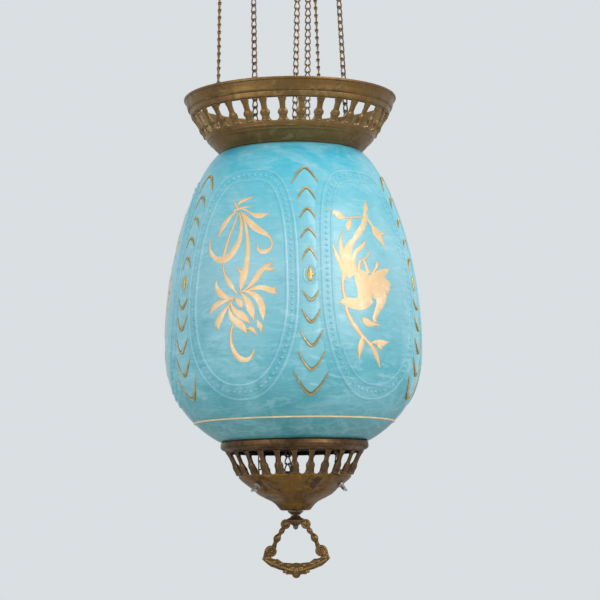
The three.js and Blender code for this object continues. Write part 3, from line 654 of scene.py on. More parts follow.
# The relief's glass is paler, a painted highlight
HIGHLIT_RELIEF = opal_glass("opal_relief_highlit", pale=0.14)
WAX = candle_wax()
COTTON = burnt_cotton()


# Surfaces that flat ornament is laid on

def swell(t, roundness, fullness):
    """Share of the belly's width that is left at a share of the way from the belly."""
    return max(0.0, 1 - t ** roundness) ** fullness


def shade_radius(z):
    """Radius of the shade's smooth outside at a height."""
    belly_z = RING_TOP + BELLY_UP
    if z < belly_z:
        t = min(1.0, (belly_z - z) / (belly_z - RING_TOP))
        return GLASS_FOOT_R + (BELLY_R - GLASS_FOOT_R) * swell(t, *FOOT_SWELL)
    t = min(1.0, (z - belly_z) / (SHOULDER - belly_z))
    return GLASS_SHOULDER_R + (BELLY_R - GLASS_SHOULDER_R) * swell(t, *SHOULDER_SWELL)


def azimuth_of(across, z):
    """Azimuth of a distance along the shade's girth at a height."""
    return math.degrees(across / shade_radius(z))


def on_shade(azimuth, z, lift):
    """Point on the shade, lifted off its surface along the surface's normal."""
    slope = shade_radius(z + 0.5) - shade_radius(z - 0.5)
    size = math.hypot(1, slope)
    return polar(shade_radius(z) + lift / size, azimuth, z - lift * slope / size)


def cone_place(low, high, bays):
    """A function that lays flat work on a cone, x round it and y up its slope. With it come
    the length of the slope and the width of one bay, halfway up."""
    middle = (low[0] + high[0]) / 2
    run, rise = high[0] - low[0], high[1] - low[1]
    length = math.hypot(run, rise)
    bay = 2 * math.pi * middle / bays

    def place(x, y, lift):
        share = y / length
        radius = low[0] + run * share + lift * rise / length
        return polar(radius, math.degrees(x / middle), low[1] + rise * share - lift * run / length)

    return place, length, bay


# Pierced galleries

# How far the band's face lies behind the cone, and the middle of its posts. A post follows
# the opening's side from a share of the bay onwards, and its rounded foot reaches lower.
SHEET_BACK = 0.12
POST_BACK = 0.7
POST_FROM = 0.2
POST_FOOT = 1.4


def opening_outline(half, length, bay):
    """Right half of an opening, smoothed, as (x, y) in millimetres from its low centre."""
    points = [(share_x * bay, share_y * length) for share_x, share_y in half]
    return [tuple(point) for point in smooth_line(points, 4)]


def drawn_loop(bm, points):
    """Draws a closed outline of flat (x, y) points and returns its edges."""
    verts = [bm.verts.new((x, y, 0)) for x, y in points]
    return [bm.edges.new(pair) for pair in zip(verts, verts[1:] + verts[:1])]


def gallery_sheet(place, length, bay, half, margin, bays):
    """One flat bay with its opening, laid on the cone and repeated."""
    bm = bmesh.new()
    right = opening_outline(half, length, bay)
    edges = drawn_loop(bm, right + [(-x, y) for x, y in reversed(right[1:-1])])
    across = [bay * (share - 0.5) for share in (0, 0.25, 0.5, 0.75, 1)]
    foot = [(x, -margin) for x in across]
    edges += drawn_loop(bm, foot + [(x, length + margin) for x in reversed(across)])
    bmesh.ops.triangle_fill(bm, edges=edges, use_beauty=True, normal=(0, 0, 1))
    thickened(bm, bm.faces[:], (0, 0, -GALLERY_WALL))
    for vert in bm.verts:
        vert.co = place(vert.co.x + bay / 2, vert.co.y, vert.co.z - SHEET_BACK)
    copied_round(bm, bays)
    return merged(bm)


def gallery_posts(place, length, bay, half, flat, bays):
    """Balusters whose sides follow the openings, one between each two of them."""
    side = [(x, y) for x, y in opening_outline(half, length, bay) if x > bay * POST_FROM]
    foot, top = side[0][1], side[-1][1]
    profile = [(0, foot - POST_FOOT), (bay * POST_FROM, foot - 1)]
    profile += [(bay / 2 - x, y) for x, y in side] + [(0, top)]
    bm = bmesh.new()
    verts = [bm.verts.new((x, y, 0)) for x, y in profile]
    edges = [bm.edges.new(pair) for pair in zip(verts, verts[1:])]
    bmesh.ops.spin(bm, geom=verts + edges, cent=(0, 0, 0), axis=(0, 1, 0), dvec=(0, 0, 0),
                   angle=2 * math.pi, steps=10, use_merge=True)
    merged(bm)
    for vert in bm.verts:
        vert.co = place(vert.co.x, vert.co.y, vert.co.z * flat - POST_BACK)
    return copied_round(bm, bays)


def gallery(low, high, bays, half, margin, flat):
    """A pierced band with its balusters, from its lower to its upper edge."""
    place, length, bay = cone_place(low, high, bays)
    bm = gallery_sheet(place, length, bay, half, margin, bays)
    added(bm, gallery_posts(place, length, bay, half, flat, bays))
    return bm


def rounded_ring(points, foot, reach, steps):
    """Turns an outline whose heights count from a foot, with its corners rounded."""
    return turned(eased([(radius, foot + up) for radius, up in points], reach), steps)


# Crown

CROWN_LOW = (72.1, CROWN_FOOT + 15)
CROWN_HIGH = (83.1, CROWN_FOOT + 33)
CROWN_OPENING = [
    (0.0, 0.0), (0.12, 0.012), (0.21, 0.06), (0.265, 0.13), (0.28, 0.2), (0.26, 0.26), (0.22, 0.31),
    (0.225, 0.38), (0.275, 0.45), (0.34, 0.51), (0.345, 0.66), (0.33, 0.8), (0.295, 0.86), (0.3, 0.91),
    (0.255, 0.96), (0.25, 1.0), (0.0, 1.0),
]


# Outlines of the rolled lip and of the flare under the gallery, as (radius, height) points
CROWN_LIP = [
    (82.9, 32.6), (84.0, 33.2), (84.4, 34.4), (84.9, 36.6), (84.9, 37.3), (86.2, 37.8), (86.7, 38.7),
    (87.5, 42), (88.6, 45.1), (88.7, 45.6), (89.6, 45.9), (89.9, 46.9), (89.7, 47.8), (89.0, 48.2),
    (88.0, 48.0), (87.2, 47.0), (85.6, 42.5), (84.4, 38.6), (80.9, 32.6),
]
CROWN_FLARE = [
    (72.4, 15.5), (70.9, 13.2), (70.7, 12.2), (69.9, 11.4), (68.9, 10.6), (68.4, 9.6), (66.9, 8.6),
    (64.3, 5.7), (62.1, 3.5), (60.3, 1.7), (59.4, 0.3), (58.4, 0), (57.2, 0.2), (60.3, 3.6),
    (66.2, 9.8), (70.2, 15.5),
]


def crown_pieces():
    """The solid bands of the crown, and the pierced one between them."""
    bm = rounded_ring(CROWN_LIP, CROWN_FOOT, reach=0.35, steps=160)
    added(bm, rounded_ring(CROWN_FLARE, CROWN_FOOT, reach=0.5, steps=160))
    make_piece("crown_bands", bm, CROWN_BRASS, "crown", ["crown"], sharp=50)
    band = gallery(CROWN_LOW, CROWN_HIGH, CROWN_BAYS, CROWN_OPENING, margin=1.0, flat=0.46)
    make_piece("crown_gallery", rotated(band, CROWN_TURN), CROWN_BRASS, "crown")


crown_pieces()


# Shade

def shade_body():
    """The blown body with its collar below and its neck above. The inside has fewer rows."""
    rows = 120
    low, high = RING_TOP + SEAT, SHOULDER
    heights = [low + (high - low) * i / rows for i in range(rows + 1)]
    outside = [(shade_radius(z), z) for z in heights]
    inside = [(radius - GLASS_WALL, z) for radius, z in outside[::8] if low + 3 < z < high - 3]
    collar_in, neck_in = COLLAR_R - GLASS_WALL, NECK_R - GLASS_WALL
    profile = [(COLLAR_R, GLASS_LOW), (COLLAR_R, low)] + outside
    profile += [(NECK_R, high), (NECK_R, GLASS_HIGH), (neck_in, GLASS_HIGH), (neck_in, high - 1)]
    profile += inside[::-1] + [(collar_in, low + 1), (collar_in, GLASS_LOW)]
    make_piece("shade_glass", turned(profile, 180), OPAL, "crown", ["glass_shade"])


shade_body()


# Six columns of scales part the shade into panels. The two panels on either side of the
# front column are the widest.
COLUMN_AZIMUTHS = (8, 73, 130.5, 188, 245.5, 303)
WIDE_PANELS = (40.5, 335.5)
NARROW_PANELS = (101.75, 159.25, 216.75, 274.25)
WIDE_HALF = 32.5
NARROW_HALF = 28.75

# Ovals inside the panels: their middle, half their height, how far they stay clear of the
# columns, and how square they are above and below their middle. The gaps lie between the
# outer and the inner rim.
OVAL_MIDDLE = RING_TOP + 123.2
OVAL_TALL = 93.5
OVAL_CLEAR = 10
OVAL_POWER_UP = 3.8
OVAL_POWER_DOWN = 2.45
RIM_GAP_SIDE = 8.4
RIM_GAP_UP = 8.7
RIM_GAP_DOWN = 11

# Rims and beads are round, and sunk into the glass to show as low relief
RIM_STEP = 2.8
RIM_SINK = -0.6
OUTER_RIM_R = 1.48
INNER_RIM_R = 1.35
BEAD_PITCH = 4.9
BEAD_R = 1.55
BEAD_SINK = -0.55


def oval_point(turn, inward, lift, half):
    """Point on an oval round azimuth 0. inward is 0 on the outer rim and 1 on the inner."""
    angle = 2 * math.pi * turn
    c, s = math.cos(angle), math.sin(angle)
    power, gap = (OVAL_POWER_UP, RIM_GAP_UP) if s > 0 else (OVAL_POWER_DOWN, RIM_GAP_DOWN)
    bend = (abs(c) ** power + abs(s) ** power) ** (-1 / power)
    z = OVAL_MIDDLE + (OVAL_TALL - gap * inward) * s * bend
    narrow = azimuth_of(OVAL_CLEAR + RIM_GAP_SIDE * inward, z)
    return on_shade((half - narrow) * c * bend, z, lift)


def even_turns(inward, half, pitch):
    """Shares of a turn that lie about a pitch apart along an oval."""
    fine = 720
    points = [oval_point(i / fine, inward, 0, half) for i in range(fine + 1)]
    run = [0.0]
    for a, b in zip(points, points[1:]):
        run.append(run[-1] + (b - a).length)
    table = [(length / run[-1], i / fine) for i, length in enumerate(run)]
    count = round(run[-1] / pitch)
    return [at_share(table, k / count) for k in range(count)]


def rims_of(half):
    """Two raised lines round a panel."""
    bm = bmesh.new()
    for inward, radius in ((0.0, OUTER_RIM_R), (1.0, INNER_RIM_R)):
        turns = even_turns(inward, half, RIM_STEP)
        path = [oval_point(turn, inward, RIM_SINK, half) for turn in turns]
        added(bm, tube(path, radius, 8, closed=True))
    return bm


def beads_of(half):
    """A row of small beads between the two raised lines."""
    bm = bmesh.new()
    for turn in even_turns(0.5, half, BEAD_PITCH):
        bead = bmesh.new()
        bmesh.ops.create_uvsphere(bead, u_segments=8, v_segments=6, radius=BEAD_R)
        inner = oval_point(turn, 0.5, BEAD_SINK, half)
        outer = oval_point(turn, 0.5, BEAD_SINK + 1, half)
        upright = (outer - inner).to_track_quat("Z", "Y").to_matrix().to_4x4()
        bmesh.ops.transform(bead, matrix=Matrix.Translation(inner) @ upright, verts=bead.verts)
        added(bm, bead)
    return bm


def oval_piece(name, drawn):
    """Draws something for a wide and for a narrow panel, and sets it in all six."""
    whole = bmesh.new()
    for half, azimuths in ((WIDE_HALF, WIDE_PANELS), (NARROW_HALF, NARROW_PANELS)):
        added(whole, set_at(drawn(half), azimuths))
    make_piece(name, whole, HIGHLIT_RELIEF, "crown")


oval_piece("shade_oval_rims", rims_of)
oval_piece("shade_oval_beads", beads_of)


# Columns of overlapping scales between the ovals

JEWEL_Z = RING_TOP + 127.1

# Tip height above the ring, half width and drop of each scale's edge, from the jewel outwards
SCALES_UP = [
    (148, 5.9, 9), (164.4, 6.5, 7.4), (181.5, 6.4, 7.7), (199.5, 7.5, 9.9), (217.3, 11, 13.5),
]
SCALES_DOWN = [
    (105.8, 6.7, 8.4), (88.3, 7.5, 11), (69.5, 8.9, 12.3), (51.1, 10.9, 14.5), (32.5, 14.6, 18),
]

# A scale rises from a share of its lift to all of it, and its own edge tucks into the glass.
# The gilt line lies a little below the top of that edge.
SCALE_LIFT = 1.65
SCALE_START = 0.1
SCALE_TUCK = -0.4
SCALE_LEG = 1.5
SCALE_RIDGE = 1.25
LINE_SINK = 0.75
LINE_THIN = 0.4
LINE_SWELL = 0.5

# The start of a row, hidden behind its first scale: how far back its tip is, and its width
# and drop as shares of the first scale's
HIDDEN_BACK = 15
HIDDEN_WIDTH = 0.9
HIDDEN_DROP = 0.8

# Half width, depth and half height of the jewel's long and short part
JEWEL_PARTS = ((1.9, 1.3, 6.4), (3.6, 0.9, 1.5))


def scale_edge(tip, drop, across):
    """Height of a scale's edge at a share across it. Up scales have their tip on top."""
    return tip - drop * abs(across) ** SCALE_LEG


def scale_crest(across):
    """Share of a scale's lift at a share across it: a soft roof with a ridge."""
    return 1 - abs(across) ** SCALE_RIDGE


def column_scale(inner, outer):
    """One scale like a low roof, from the edge of its inner neighbour to its own edge."""
    bm = bmesh.new()
    bmesh.ops.create_grid(bm, x_segments=16, y_segments=8, size=1)
    for vert in bm.verts:
        across, along = vert.co.x, (vert.co.y + 1) / 2
        start = scale_edge(inner[0], inner[2], across)
        end = scale_edge(outer[0], outer[2], across)
        half = inner[1] + (outer[1] - inner[1]) * along
        risen = SCALE_START + (1 - SCALE_START) * along
        lift = SCALE_LIFT * risen * scale_crest(across) - 0.1
        if along > 0.99:
            lift = SCALE_TUCK
        z = start + (end - start) * along
        vert.co = on_shade(azimuth_of(half * across, z), z, lift)
    return bm


def as_heights(row, sign):
    """A row of the tables with its tip's height on the lamp, and its drop's direction."""
    up, half, drop = row
    return RING_TOP + up, half, sign * drop


def column_scales():
    """The scales of all columns, up and down from the jewels."""
    bm = bmesh.new()
    for rows, sign in ((SCALES_UP, 1), (SCALES_DOWN, -1)):
        up, half, drop = rows[0]
        hidden = (up - sign * HIDDEN_BACK, half * HIDDEN_WIDTH, drop * HIDDEN_DROP)
        for inner, outer in zip([hidden] + rows, rows):
            added(bm, column_scale(as_heights(inner, sign), as_heights(outer, sign)))
    bmesh.ops.recalc_face_normals(bm, faces=bm.faces)
    make_piece("shade_scales", set_at(bm, COLUMN_AZIMUTHS), HIGHLIT_RELIEF, "crown")


def scale_lines():
    """Gilt line along the edge of each scale, thickest at its tip."""
    bm = bmesh.new()
    steps = 18
    for rows, sign in ((SCALES_UP, 1), (SCALES_DOWN, -1)):
        for row in rows:
            tip, half, drop = as_heights(row, sign)
            path, radii = [], []
            for i in range(steps + 1):
                across = 2 * i / steps - 1
                z = scale_edge(tip, drop, across)
                lift = (SCALE_LIFT - LINE_SINK) * scale_crest(across)
                path.append(on_shade(azimuth_of(half * across, z), z, lift))
                radii.append(LINE_THIN + LINE_SWELL * (1 - abs(across)) ** 0.8)
            added(bm, tube(path, radii, 6))
    make_piece("shade_scale_lines", set_at(bm, COLUMN_AZIMUTHS), LINE_GILT, "crown")


def jewel_ring(half, tall, radius):
    """Closed oval tube round the middle of a column."""
    path = []
    steps = 40
    for i in range(steps):
        angle = 2 * math.pi * i / steps
        azimuth = azimuth_of(half * math.cos(angle), JEWEL_Z)
        path.append(on_shade(azimuth, JEWEL_Z + tall * math.sin(angle), 0.0))
    return tube(path, radius, 8, closed=True)


def jewels():
    """Gilt cabochon like a long star with a ring round it, at the middle of each column."""
    bm = bmesh.new()
    for size in JEWEL_PARTS:
        part = bmesh.new()
        bmesh.ops.create_uvsphere(part, u_segments=20, v_segments=12, radius=1)
        bmesh.ops.scale(part, vec=size, verts=part.verts)
        added(bm, part)
    for vert in bm.verts:
        azimuth = azimuth_of(vert.co.x, JEWEL_Z)
        vert.co = on_shade(azimuth, JEWEL_Z + vert.co.z, 0.1 - vert.co.y)
    bmesh.ops.recalc_face_normals(bm, faces=bm.faces)
    make_piece("shade_jewels", set_at(bm, COLUMN_AZIMUTHS), JEWEL_GILT, "crown")
    rings = set_at(jewel_ring(half=5.0, tall=7.8, radius=0.75), COLUMN_AZIMUTHS)
    make_piece("shade_jewel_rings", rings, HIGHLIT_RELIEF, "crown")


column_scales()
scale_lines()
jewels()


FOOT_LINE_Z = RING_TOP + 15.8
FOOT_LINE_R = 0.8


def foot_line():
    """Gilt line round the shade above its foot."""
    steps = 120
    path = [on_shade(360 * i / steps, FOOT_LINE_Z, 0.0) for i in range(steps)]
    bm = tube(path, FOOT_LINE_R, 6, closed=True)
    make_piece("shade_foot_line", bm, MOTIF_GILT, "crown")


foot_line()


# Gilt motifs, drawn as they are seen from the front, on sheets ruled at 9 units to
# the photograph's pixel. Each sheet's corner is a pixel of the photograph, in which the shade
# stands a few pixels to the right of the lamp's axis.

SHEET_UNITS = 9
FLOWER_CORNER = (205, 190)
BIRD_CORNER = (325, 195)
SHADE_OFF_AXIS = 3.5


def drawn_point(corner, x, y):
    """Azimuth and height on the shade that a point of a sheet covers."""
    right = corner[0] + x / SHEET_UNITS - PHOTO_SIDE / 2 - SHADE_OFF_AXIS
    down = corner[1] + y / SHEET_UNITS - PHOTO_SIDE / 2
    roll = math.radians(CAMERA_ROLL)
    side = right * math.cos(roll) + down * math.sin(roll)
    low = down * math.cos(roll) - right * math.sin(roll)
    rise = math.tan(math.radians(CAMERA_PITCH) - math.atan(low / FOCAL_PIXELS))
    azimuth, z = 0.0, OVAL_MIDDLE
    # The line of sight meets the round glass at a place that a few rounds close in on
    for _ in range(6):
        away = CAMERA_AWAY - shade_radius(z) * math.cos(math.radians(azimuth))
        z = CAMERA_HEIGHT + away * rise
        offset = CAMERA_SIDE + side * away / FOCAL_PIXELS
        azimuth = math.degrees(math.asin(max(-0.999, min(0.999, offset / shade_radius(z)))))
    return azimuth, z


# Each stroke is a list of (x, y, width) along its middle line
FLOWER_STROKES = [
    # knot, the short ends above it and the small leaves beside it
    [(283, 92, 6), (298, 125, 16), (322, 172, 24)],
    [(318, 140, 8), (340, 112, 22), (378, 90, 30), (418, 76, 20), (458, 60, 5)],
    [(276, 192, 8), (318, 172, 18), (362, 160, 14), (452, 149, 6)],
    [(335, 168, 10), (388, 180, 14), (440, 208, 20), (482, 228, 40), (528, 230, 46), (566, 222, 26),
     (604, 211, 5)],
    [(304, 192, 10), (262, 232, 24), (220, 280, 34), (186, 330, 36), (162, 378, 22), (143, 428, 5)],
    # the long ribbons and stems
    [(322, 205, 10), (292, 300, 14), (264, 370, 16), (240, 432, 20), (210, 530, 24), (192, 600, 16),
     (188, 660, 12), (198, 740, 18), (222, 800, 34), (256, 852, 40), (290, 900, 24), (322, 942, 8)],
    [(334, 205, 12), (350, 268, 22), (352, 330, 30), (342, 430, 36), (322, 482, 44), (295, 532, 50),
     (258, 584, 52), (218, 616, 58), (170, 632, 60), (118, 616, 44), (84, 576, 34), (70, 530, 22),
     (68, 490, 12), (73, 452, 4)],
    [(350, 200, 12), (376, 260, 20), (396, 335, 26), (410, 450, 32), (414, 540, 38), (408, 610, 42),
     (398, 700, 46)],
    [(398, 680, 44), (388, 730, 58), (370, 786, 66), (356, 846, 44), (344, 912, 8)],
    [(310, 694, 5), (336, 722, 24), (368, 760, 40)],
    [(348, 196, 10), (384, 236, 28), (424, 284, 48), (470, 330, 60), (510, 358, 56), (552, 382, 44),
     (590, 406, 28), (618, 436, 18), (632, 480, 14), (626, 512, 20), (600, 538, 30), (556, 556, 38),
     (520, 546, 28), (500, 518, 16), (500, 470, 4)],
    # upper and side petals
    [(354, 926, 6), (396, 892, 18), (440, 850, 36), (488, 792, 50), (524, 738, 44), (566, 696, 40),
     (606, 670, 26), (644, 648, 5)],
    [(540, 716, 20), (590, 708, 34), (632, 714, 24), (662, 712, 6)],
    [(360, 920, 6), (410, 904, 16), (460, 888, 30), (520, 876, 42), (580, 886, 48), (630, 902, 50),
     (672, 870, 5)],
    [(580, 884, 30), (640, 912, 40), (672, 938, 5)],
    [(292, 970, 6), (252, 972, 22), (210, 962, 46), (170, 938, 60), (140, 898, 44), (126, 860, 26),
     (130, 818, 5)],
    [(290, 972, 6), (246, 988, 20), (196, 1002, 34), (150, 1022, 46), (112, 1052, 44), (88, 1084, 26),
     (74, 1118, 5)],
    [(278, 992, 6), (240, 1040, 20), (196, 1096, 34), (160, 1160, 52), (142, 1206, 50), (150, 1258, 6)],
    # flower head
    [(296, 968, 8), (318, 990, 38), (342, 1016, 58), (352, 1044, 36), (362, 1066, 6)],
    [(262, 1004, 6), (272, 1050, 26), (300, 1092, 48), (346, 1122, 70), (384, 1150, 56), (414, 1180, 30),
     (438, 1204, 6)],
    [(244, 1044, 6), (250, 1100, 30), (276, 1156, 52), (336, 1204, 70), (372, 1240, 50), (392, 1270, 28),
     (402, 1296, 6)],
    [(400, 1248, 8), (436, 1246, 30), (464, 1262, 34), (492, 1304, 5)],
    [(344, 922, 6), (380, 958, 34), (412, 1004, 58), (436, 1062, 70), (452, 1112, 50), (468, 1174, 6)],
    [(346, 914, 6), (400, 914, 22), (456, 934, 42), (510, 980, 60), (538, 1040, 58), (548, 1100, 50),
     (552, 1172, 6)],
    [(500, 1170, 10), (520, 1216, 46), (532, 1244, 30), (530, 1280, 5)],
    # curled tail
    [(286, 1186, 8), (268, 1250, 18), (260, 1320, 22), (266, 1386, 28), (288, 1450, 36), (322, 1498, 42),
     (362, 1524, 46), (408, 1528, 38), (444, 1500, 26), (462, 1466, 14), (470, 1428, 4)],
]

BIRD_STROKES = [
    # upper branch with its leaves
    [(404, 48, 5), (400, 84, 22), (406, 122, 36), (398, 160, 30), (402, 196, 44), (392, 232, 46),
     (384, 266, 50), (364, 306, 56), (342, 336, 60), (318, 372, 50), (296, 408, 40)],
    [(392, 204, 8), (350, 202, 12), (310, 199, 12), (262, 202, 12), (214, 206, 8)],
    [(66, 126, 5), (100, 148, 30), (128, 160, 44), (160, 180, 60), (194, 198, 34), (222, 206, 8)],
    [(118, 160, 10), (140, 190, 24), (170, 216, 6)],
    [(272, 206, 6), (262, 236, 36), (250, 268, 54), (246, 300, 32), (240, 328, 5)],
    [(412, 206, 8), (444, 244, 16), (468, 284, 18)],
    [(464, 276, 16), (484, 308, 44), (504, 344, 60), (526, 378, 48), (546, 408, 34), (562, 440, 20),
     (574, 474, 5)],
    [(504, 340, 20), (544, 352, 30), (578, 344, 5)],
    # tail feathers
    [(94, 408, 4), (108, 460, 16), (130, 522, 30), (154, 570, 36), (178, 614, 46), (212, 682, 60)],
    [(192, 332, 4), (178, 378, 20), (174, 432, 35), (182, 480, 40), (196, 536, 48), (222, 640, 60)],
    [(302, 396, 36), (272, 432, 58), (250, 474, 70), (236, 520, 82), (230, 566, 90), (238, 616, 96),
     (254, 664, 100), (296, 722, 104)],
    [(398, 406, 5), (388, 440, 24), (368, 466, 40), (334, 494, 38), (308, 524, 36), (292, 590, 44),
     (300, 700, 60)],
    [(438, 502, 4), (424, 542, 14), (398, 572, 18), (368, 584, 18), (350, 606, 22), (340, 684, 32)],
    [(376, 572, 14), (398, 610, 20), (414, 656, 24), (432, 704, 34)],
    [(484, 606, 6), (508, 616, 20), (504, 644, 26), (484, 680, 22), (462, 724, 26)],
    # body, and the stem that runs behind it
    [(330, 690, 70), (362, 740, 130), (392, 800, 150), (404, 860, 150), (392, 920, 130), (370, 970, 100)],
    [(222, 660, 60), (206, 722, 46), (196, 770, 28), (194, 812, 25), (202, 876, 26), (222, 944, 32)],
    [(160, 966, 6), (196, 962, 50), (234, 962, 80), (300, 978, 98), (376, 980, 104), (442, 930, 90)],
    # wing
    [(430, 800, 90), (500, 740, 100), (560, 700, 70), (618, 664, 6)],
    [(450, 830, 110), (530, 800, 130), (590, 800, 100), (618, 790, 40)],
    [(450, 860, 100), (540, 860, 110), (596, 856, 60), (624, 850, 6)],
    [(470, 890, 80), (550, 900, 80), (596, 932, 6)],
    # neck, head and beak
    [(520, 880, 110), (540, 920, 100), (538, 970, 78), (518, 1020, 56), (498, 1066, 42), (482, 1106, 34),
     (488, 1142, 28)],
    [(366, 1098, 6), (386, 1118, 36), (412, 1142, 60), (448, 1164, 46), (486, 1164, 28), (528, 1176, 5)],
    # branch below
    [(222, 1000, 28), (234, 1050, 28), (256, 1100, 30), (284, 1150, 32), (314, 1194, 35), (346, 1240, 32),
     (378, 1278, 28), (412, 1314, 26), (444, 1346, 28), (472, 1392, 34), (494, 1436, 36), (512, 1492, 26),
     (526, 1554, 5)],
    [(366, 1266, 8), (366, 1304, 32), (360, 1354, 50), (348, 1412, 32), (338, 1478, 5)],
    [(444, 1338, 8), (486, 1326, 34), (536, 1334, 66), (572, 1330, 42), (608, 1324, 5)],
    [(500, 1350, 20), (530, 1370, 30), (548, 1390, 6)],
]

# Each motif is a skin of gilding over a darker one, whose strokes are a little wider. Every
# stroke lies a hair above the one before it, so that they don't flicker where they cross.
EDGE_GROW = 3.5
EDGE_LIFT = 0.2
SKIN_LIFT = 0.3
SKIN_SETTLE = 0.3
STROKE_STEP = 0.002


def stroke_sheet(corner, stroke, grow, lift):
    """One stroke of gilding as a thin skin on the shade, its edges settled on the glass."""
    line = smooth_line(stroke, 5)
    last = len(line) - 1
    ribbon = bmesh.new()
    bmesh.ops.create_grid(ribbon, x_segments=last, y_segments=4, size=1)
    for vert in ribbon.verts:
        i = round((vert.co.x + 1) / 2 * last)
        ahead, behind = line[min(i + 1, last)], line[max(i - 1, 0)]
        along = (Vector(ahead[:2]) - Vector(behind[:2])).normalized()
        x, y, width = line[i]
        off = vert.co.y * (width / 2 + grow)
        azimuth, z = drawn_point(corner, x - along.y * off, y + along.x * off)
        vert.co = on_shade(azimuth, z, lift - SKIN_SETTLE * abs(vert.co.y) ** 6)
    return ribbon


def gilt_motif(name, corner, strokes, turns):
    """Lays a motif on the shade, with a darker edge under it, and repeats it at each turn."""
    for part, grow, lift, finish in (
        ("", 0.0, SKIN_LIFT, MOTIF_GILT),
        ("_edges", EDGE_GROW, EDGE_LIFT, EDGE_GILT),
    ):
        bm = bmesh.new()
        for index, stroke in enumerate(strokes):
            added(bm, stroke_sheet(corner, stroke, grow, lift + STROKE_STEP * index))
        bmesh.ops.recalc_face_normals(bm, faces=bm.faces)
        make_piece(name + part, set_at(bm, turns), finish, "crown")


# The first wide panel has the bird, the second the flower, and the rest have them in turn
FLOWER_TURNS = (0, NARROW_PANELS[0] - WIDE_PANELS[1], NARROW_PANELS[2] - WIDE_PANELS[1])
BIRD_TURNS = (0, NARROW_PANELS[1] - WIDE_PANELS[0], NARROW_PANELS[3] - WIDE_PANELS[0])

gilt_motif("shade_gilt_flowers", FLOWER_CORNER, FLOWER_STROKES, FLOWER_TURNS)
gilt_motif("shade_gilt_birds", BIRD_CORNER, BIRD_STROKES, BIRD_TURNS)


# Bowl

BOWL_LOW = (46.6, BOWL_FOOT + 28.2)
BOWL_HIGH = (56.4, BOWL_FOOT + 48.2)
BOWL_OPENING = [
    (0.0, 0.0), (0.1, 0.012), (0.18, 0.06), (0.225, 0.13), (0.24, 0.21), (0.225, 0.28), (0.22, 0.35),
    (0.26, 0.43), (0.33, 0.5), (0.36, 0.6), (0.37, 0.75), (0.355, 0.87), (0.31, 0.94), (0.28, 1.0),
    (0.0, 1.0),
]


# Outlines of the ring above the gallery and of the saucer under it
BOWL_RING = [
    (56.2, 47.8), (57.4, 48.3), (57.9, 49.2), (58.9, 49.8), (60.0, 50.2), (61.0, 51.0), (61.6, 52.2),
    (61.8, 53.4), (61.5, 54.3), (61.5, 55.6), (61.2, 56.5), (60.4, 57), (58.9, 57), (58.8, 50),
    (56.2, 49.6), (54.4, 47.8),
]
BOWL_SAUCER = [
    (46.9, 28.6), (46.7, 27.2), (45.8, 26.2), (44.9, 25.2), (40.6, 21.6), (36.6, 18.6), (34.6, 17.2),
    (34.0, 16.2), (30.4, 13.1), (24.4, 9.9), (19.6, 7.6), (16.6, 5.4), (14.2, 2.6), (12.6, 0.5),
    (11.2, 0), (2.2, 0), (2.2, 1.7), (11, 1.7), (17.2, 8.2), (29.4, 14.6), (44.2, 27.4), (44.8, 28.6),
]


def bowl_pieces():
    """The ring on top, the saucer below, and the pierced band between them."""
    ring = rounded_ring(BOWL_RING, BOWL_FOOT, reach=0.5, steps=144)
    make_piece("bowl_ring", ring, RIM_BRASS, "bowl", ["bowl"], sharp=50)
    saucer = rounded_ring(BOWL_SAUCER, BOWL_FOOT, reach=0.5, steps=144)
    make_piece("bowl_saucer", saucer, BOWL_BRASS, "bowl", sharp=50)
    band = gallery(BOWL_LOW, BOWL_HIGH, BOWL_BAYS, BOWL_OPENING, margin=0.8, flat=0.6)
    make_piece("bowl_gallery", band, RIM_BRASS, "bowl")


bowl_pieces()


# Pull ring, drawn flat as (x, distance below its top)

def ring_point(x, down):
    return (x, 0, PULL_TOP - down)


def spiral(centre, start_radius, end_radius, start_angle, turns, side, steps):
    """Points of a scroll that winds in from its outside."""
    points = []
    for i in range(steps + 1):
        share = i / steps
        radius = start_radius + (end_radius - start_radius) * share
        angle = math.radians(start_angle) + 2 * math.pi * turns * share
        points.append(ring_point(side * (centre[0] + radius * math.cos(angle)),
                                 centre[1] - radius * math.sin(angle)))
    return points


def ball(centre, scale, around):
    """A round or flattened knob."""
    bm = bmesh.new()
    bmesh.ops.create_uvsphere(bm, u_segments=around, v_segments=max(6, around // 2), radius=1)
    bmesh.ops.scale(bm, vec=scale, verts=bm.verts)
    bmesh.ops.translate(bm, vec=centre, verts=bm.verts)
    return bm


# Edges of a cast plate that turn by more than this, in radians, are softened
SHARP_TURN = 1.2


def ring_plate(edge, thick):
    """A cast plate with softened edges, from the outline of its right half."""
    bm = bmesh.new()
    left = [(-x, down) for x, down in reversed(edge[1:-1])]
    verts = [bm.verts.new(ring_point(x, down)) for x, down in edge + left]
    face = bm.faces.new(verts)
    bmesh.ops.translate(bm, vec=(0, thick / 2, 0), verts=bm.verts)
    thickened(bm, [face], (0, -thick, 0))
    bmesh.ops.recalc_face_normals(bm, faces=bm.faces)
    rims = [edge for edge in bm.edges if edge.calc_face_angle(0) > SHARP_TURN]
    bmesh.ops.bevel(bm, geom=rims, offset=0.9, segments=2, profile=0.5, affect="EDGES", material=-1)
    return bm


# Bell cap as (radius, down), and the bridge between the volutes
BELL_CAP = [
    (0, 8.8), (1.9, 8.8), (3.2, 8.2), (4.3, 6.8), (6.4, 5.6), (8.2, 5.0), (8.8, 4.2), (7.6, 3.2),
    (5.4, 2.2), (4.0, 1.2), (3.5, 0), (0, 0),
]
BRIDGE = [(-8.4, 6.2), (-4, 5.4), (0, 5.2), (4, 5.4), (8.4, 6.2)]

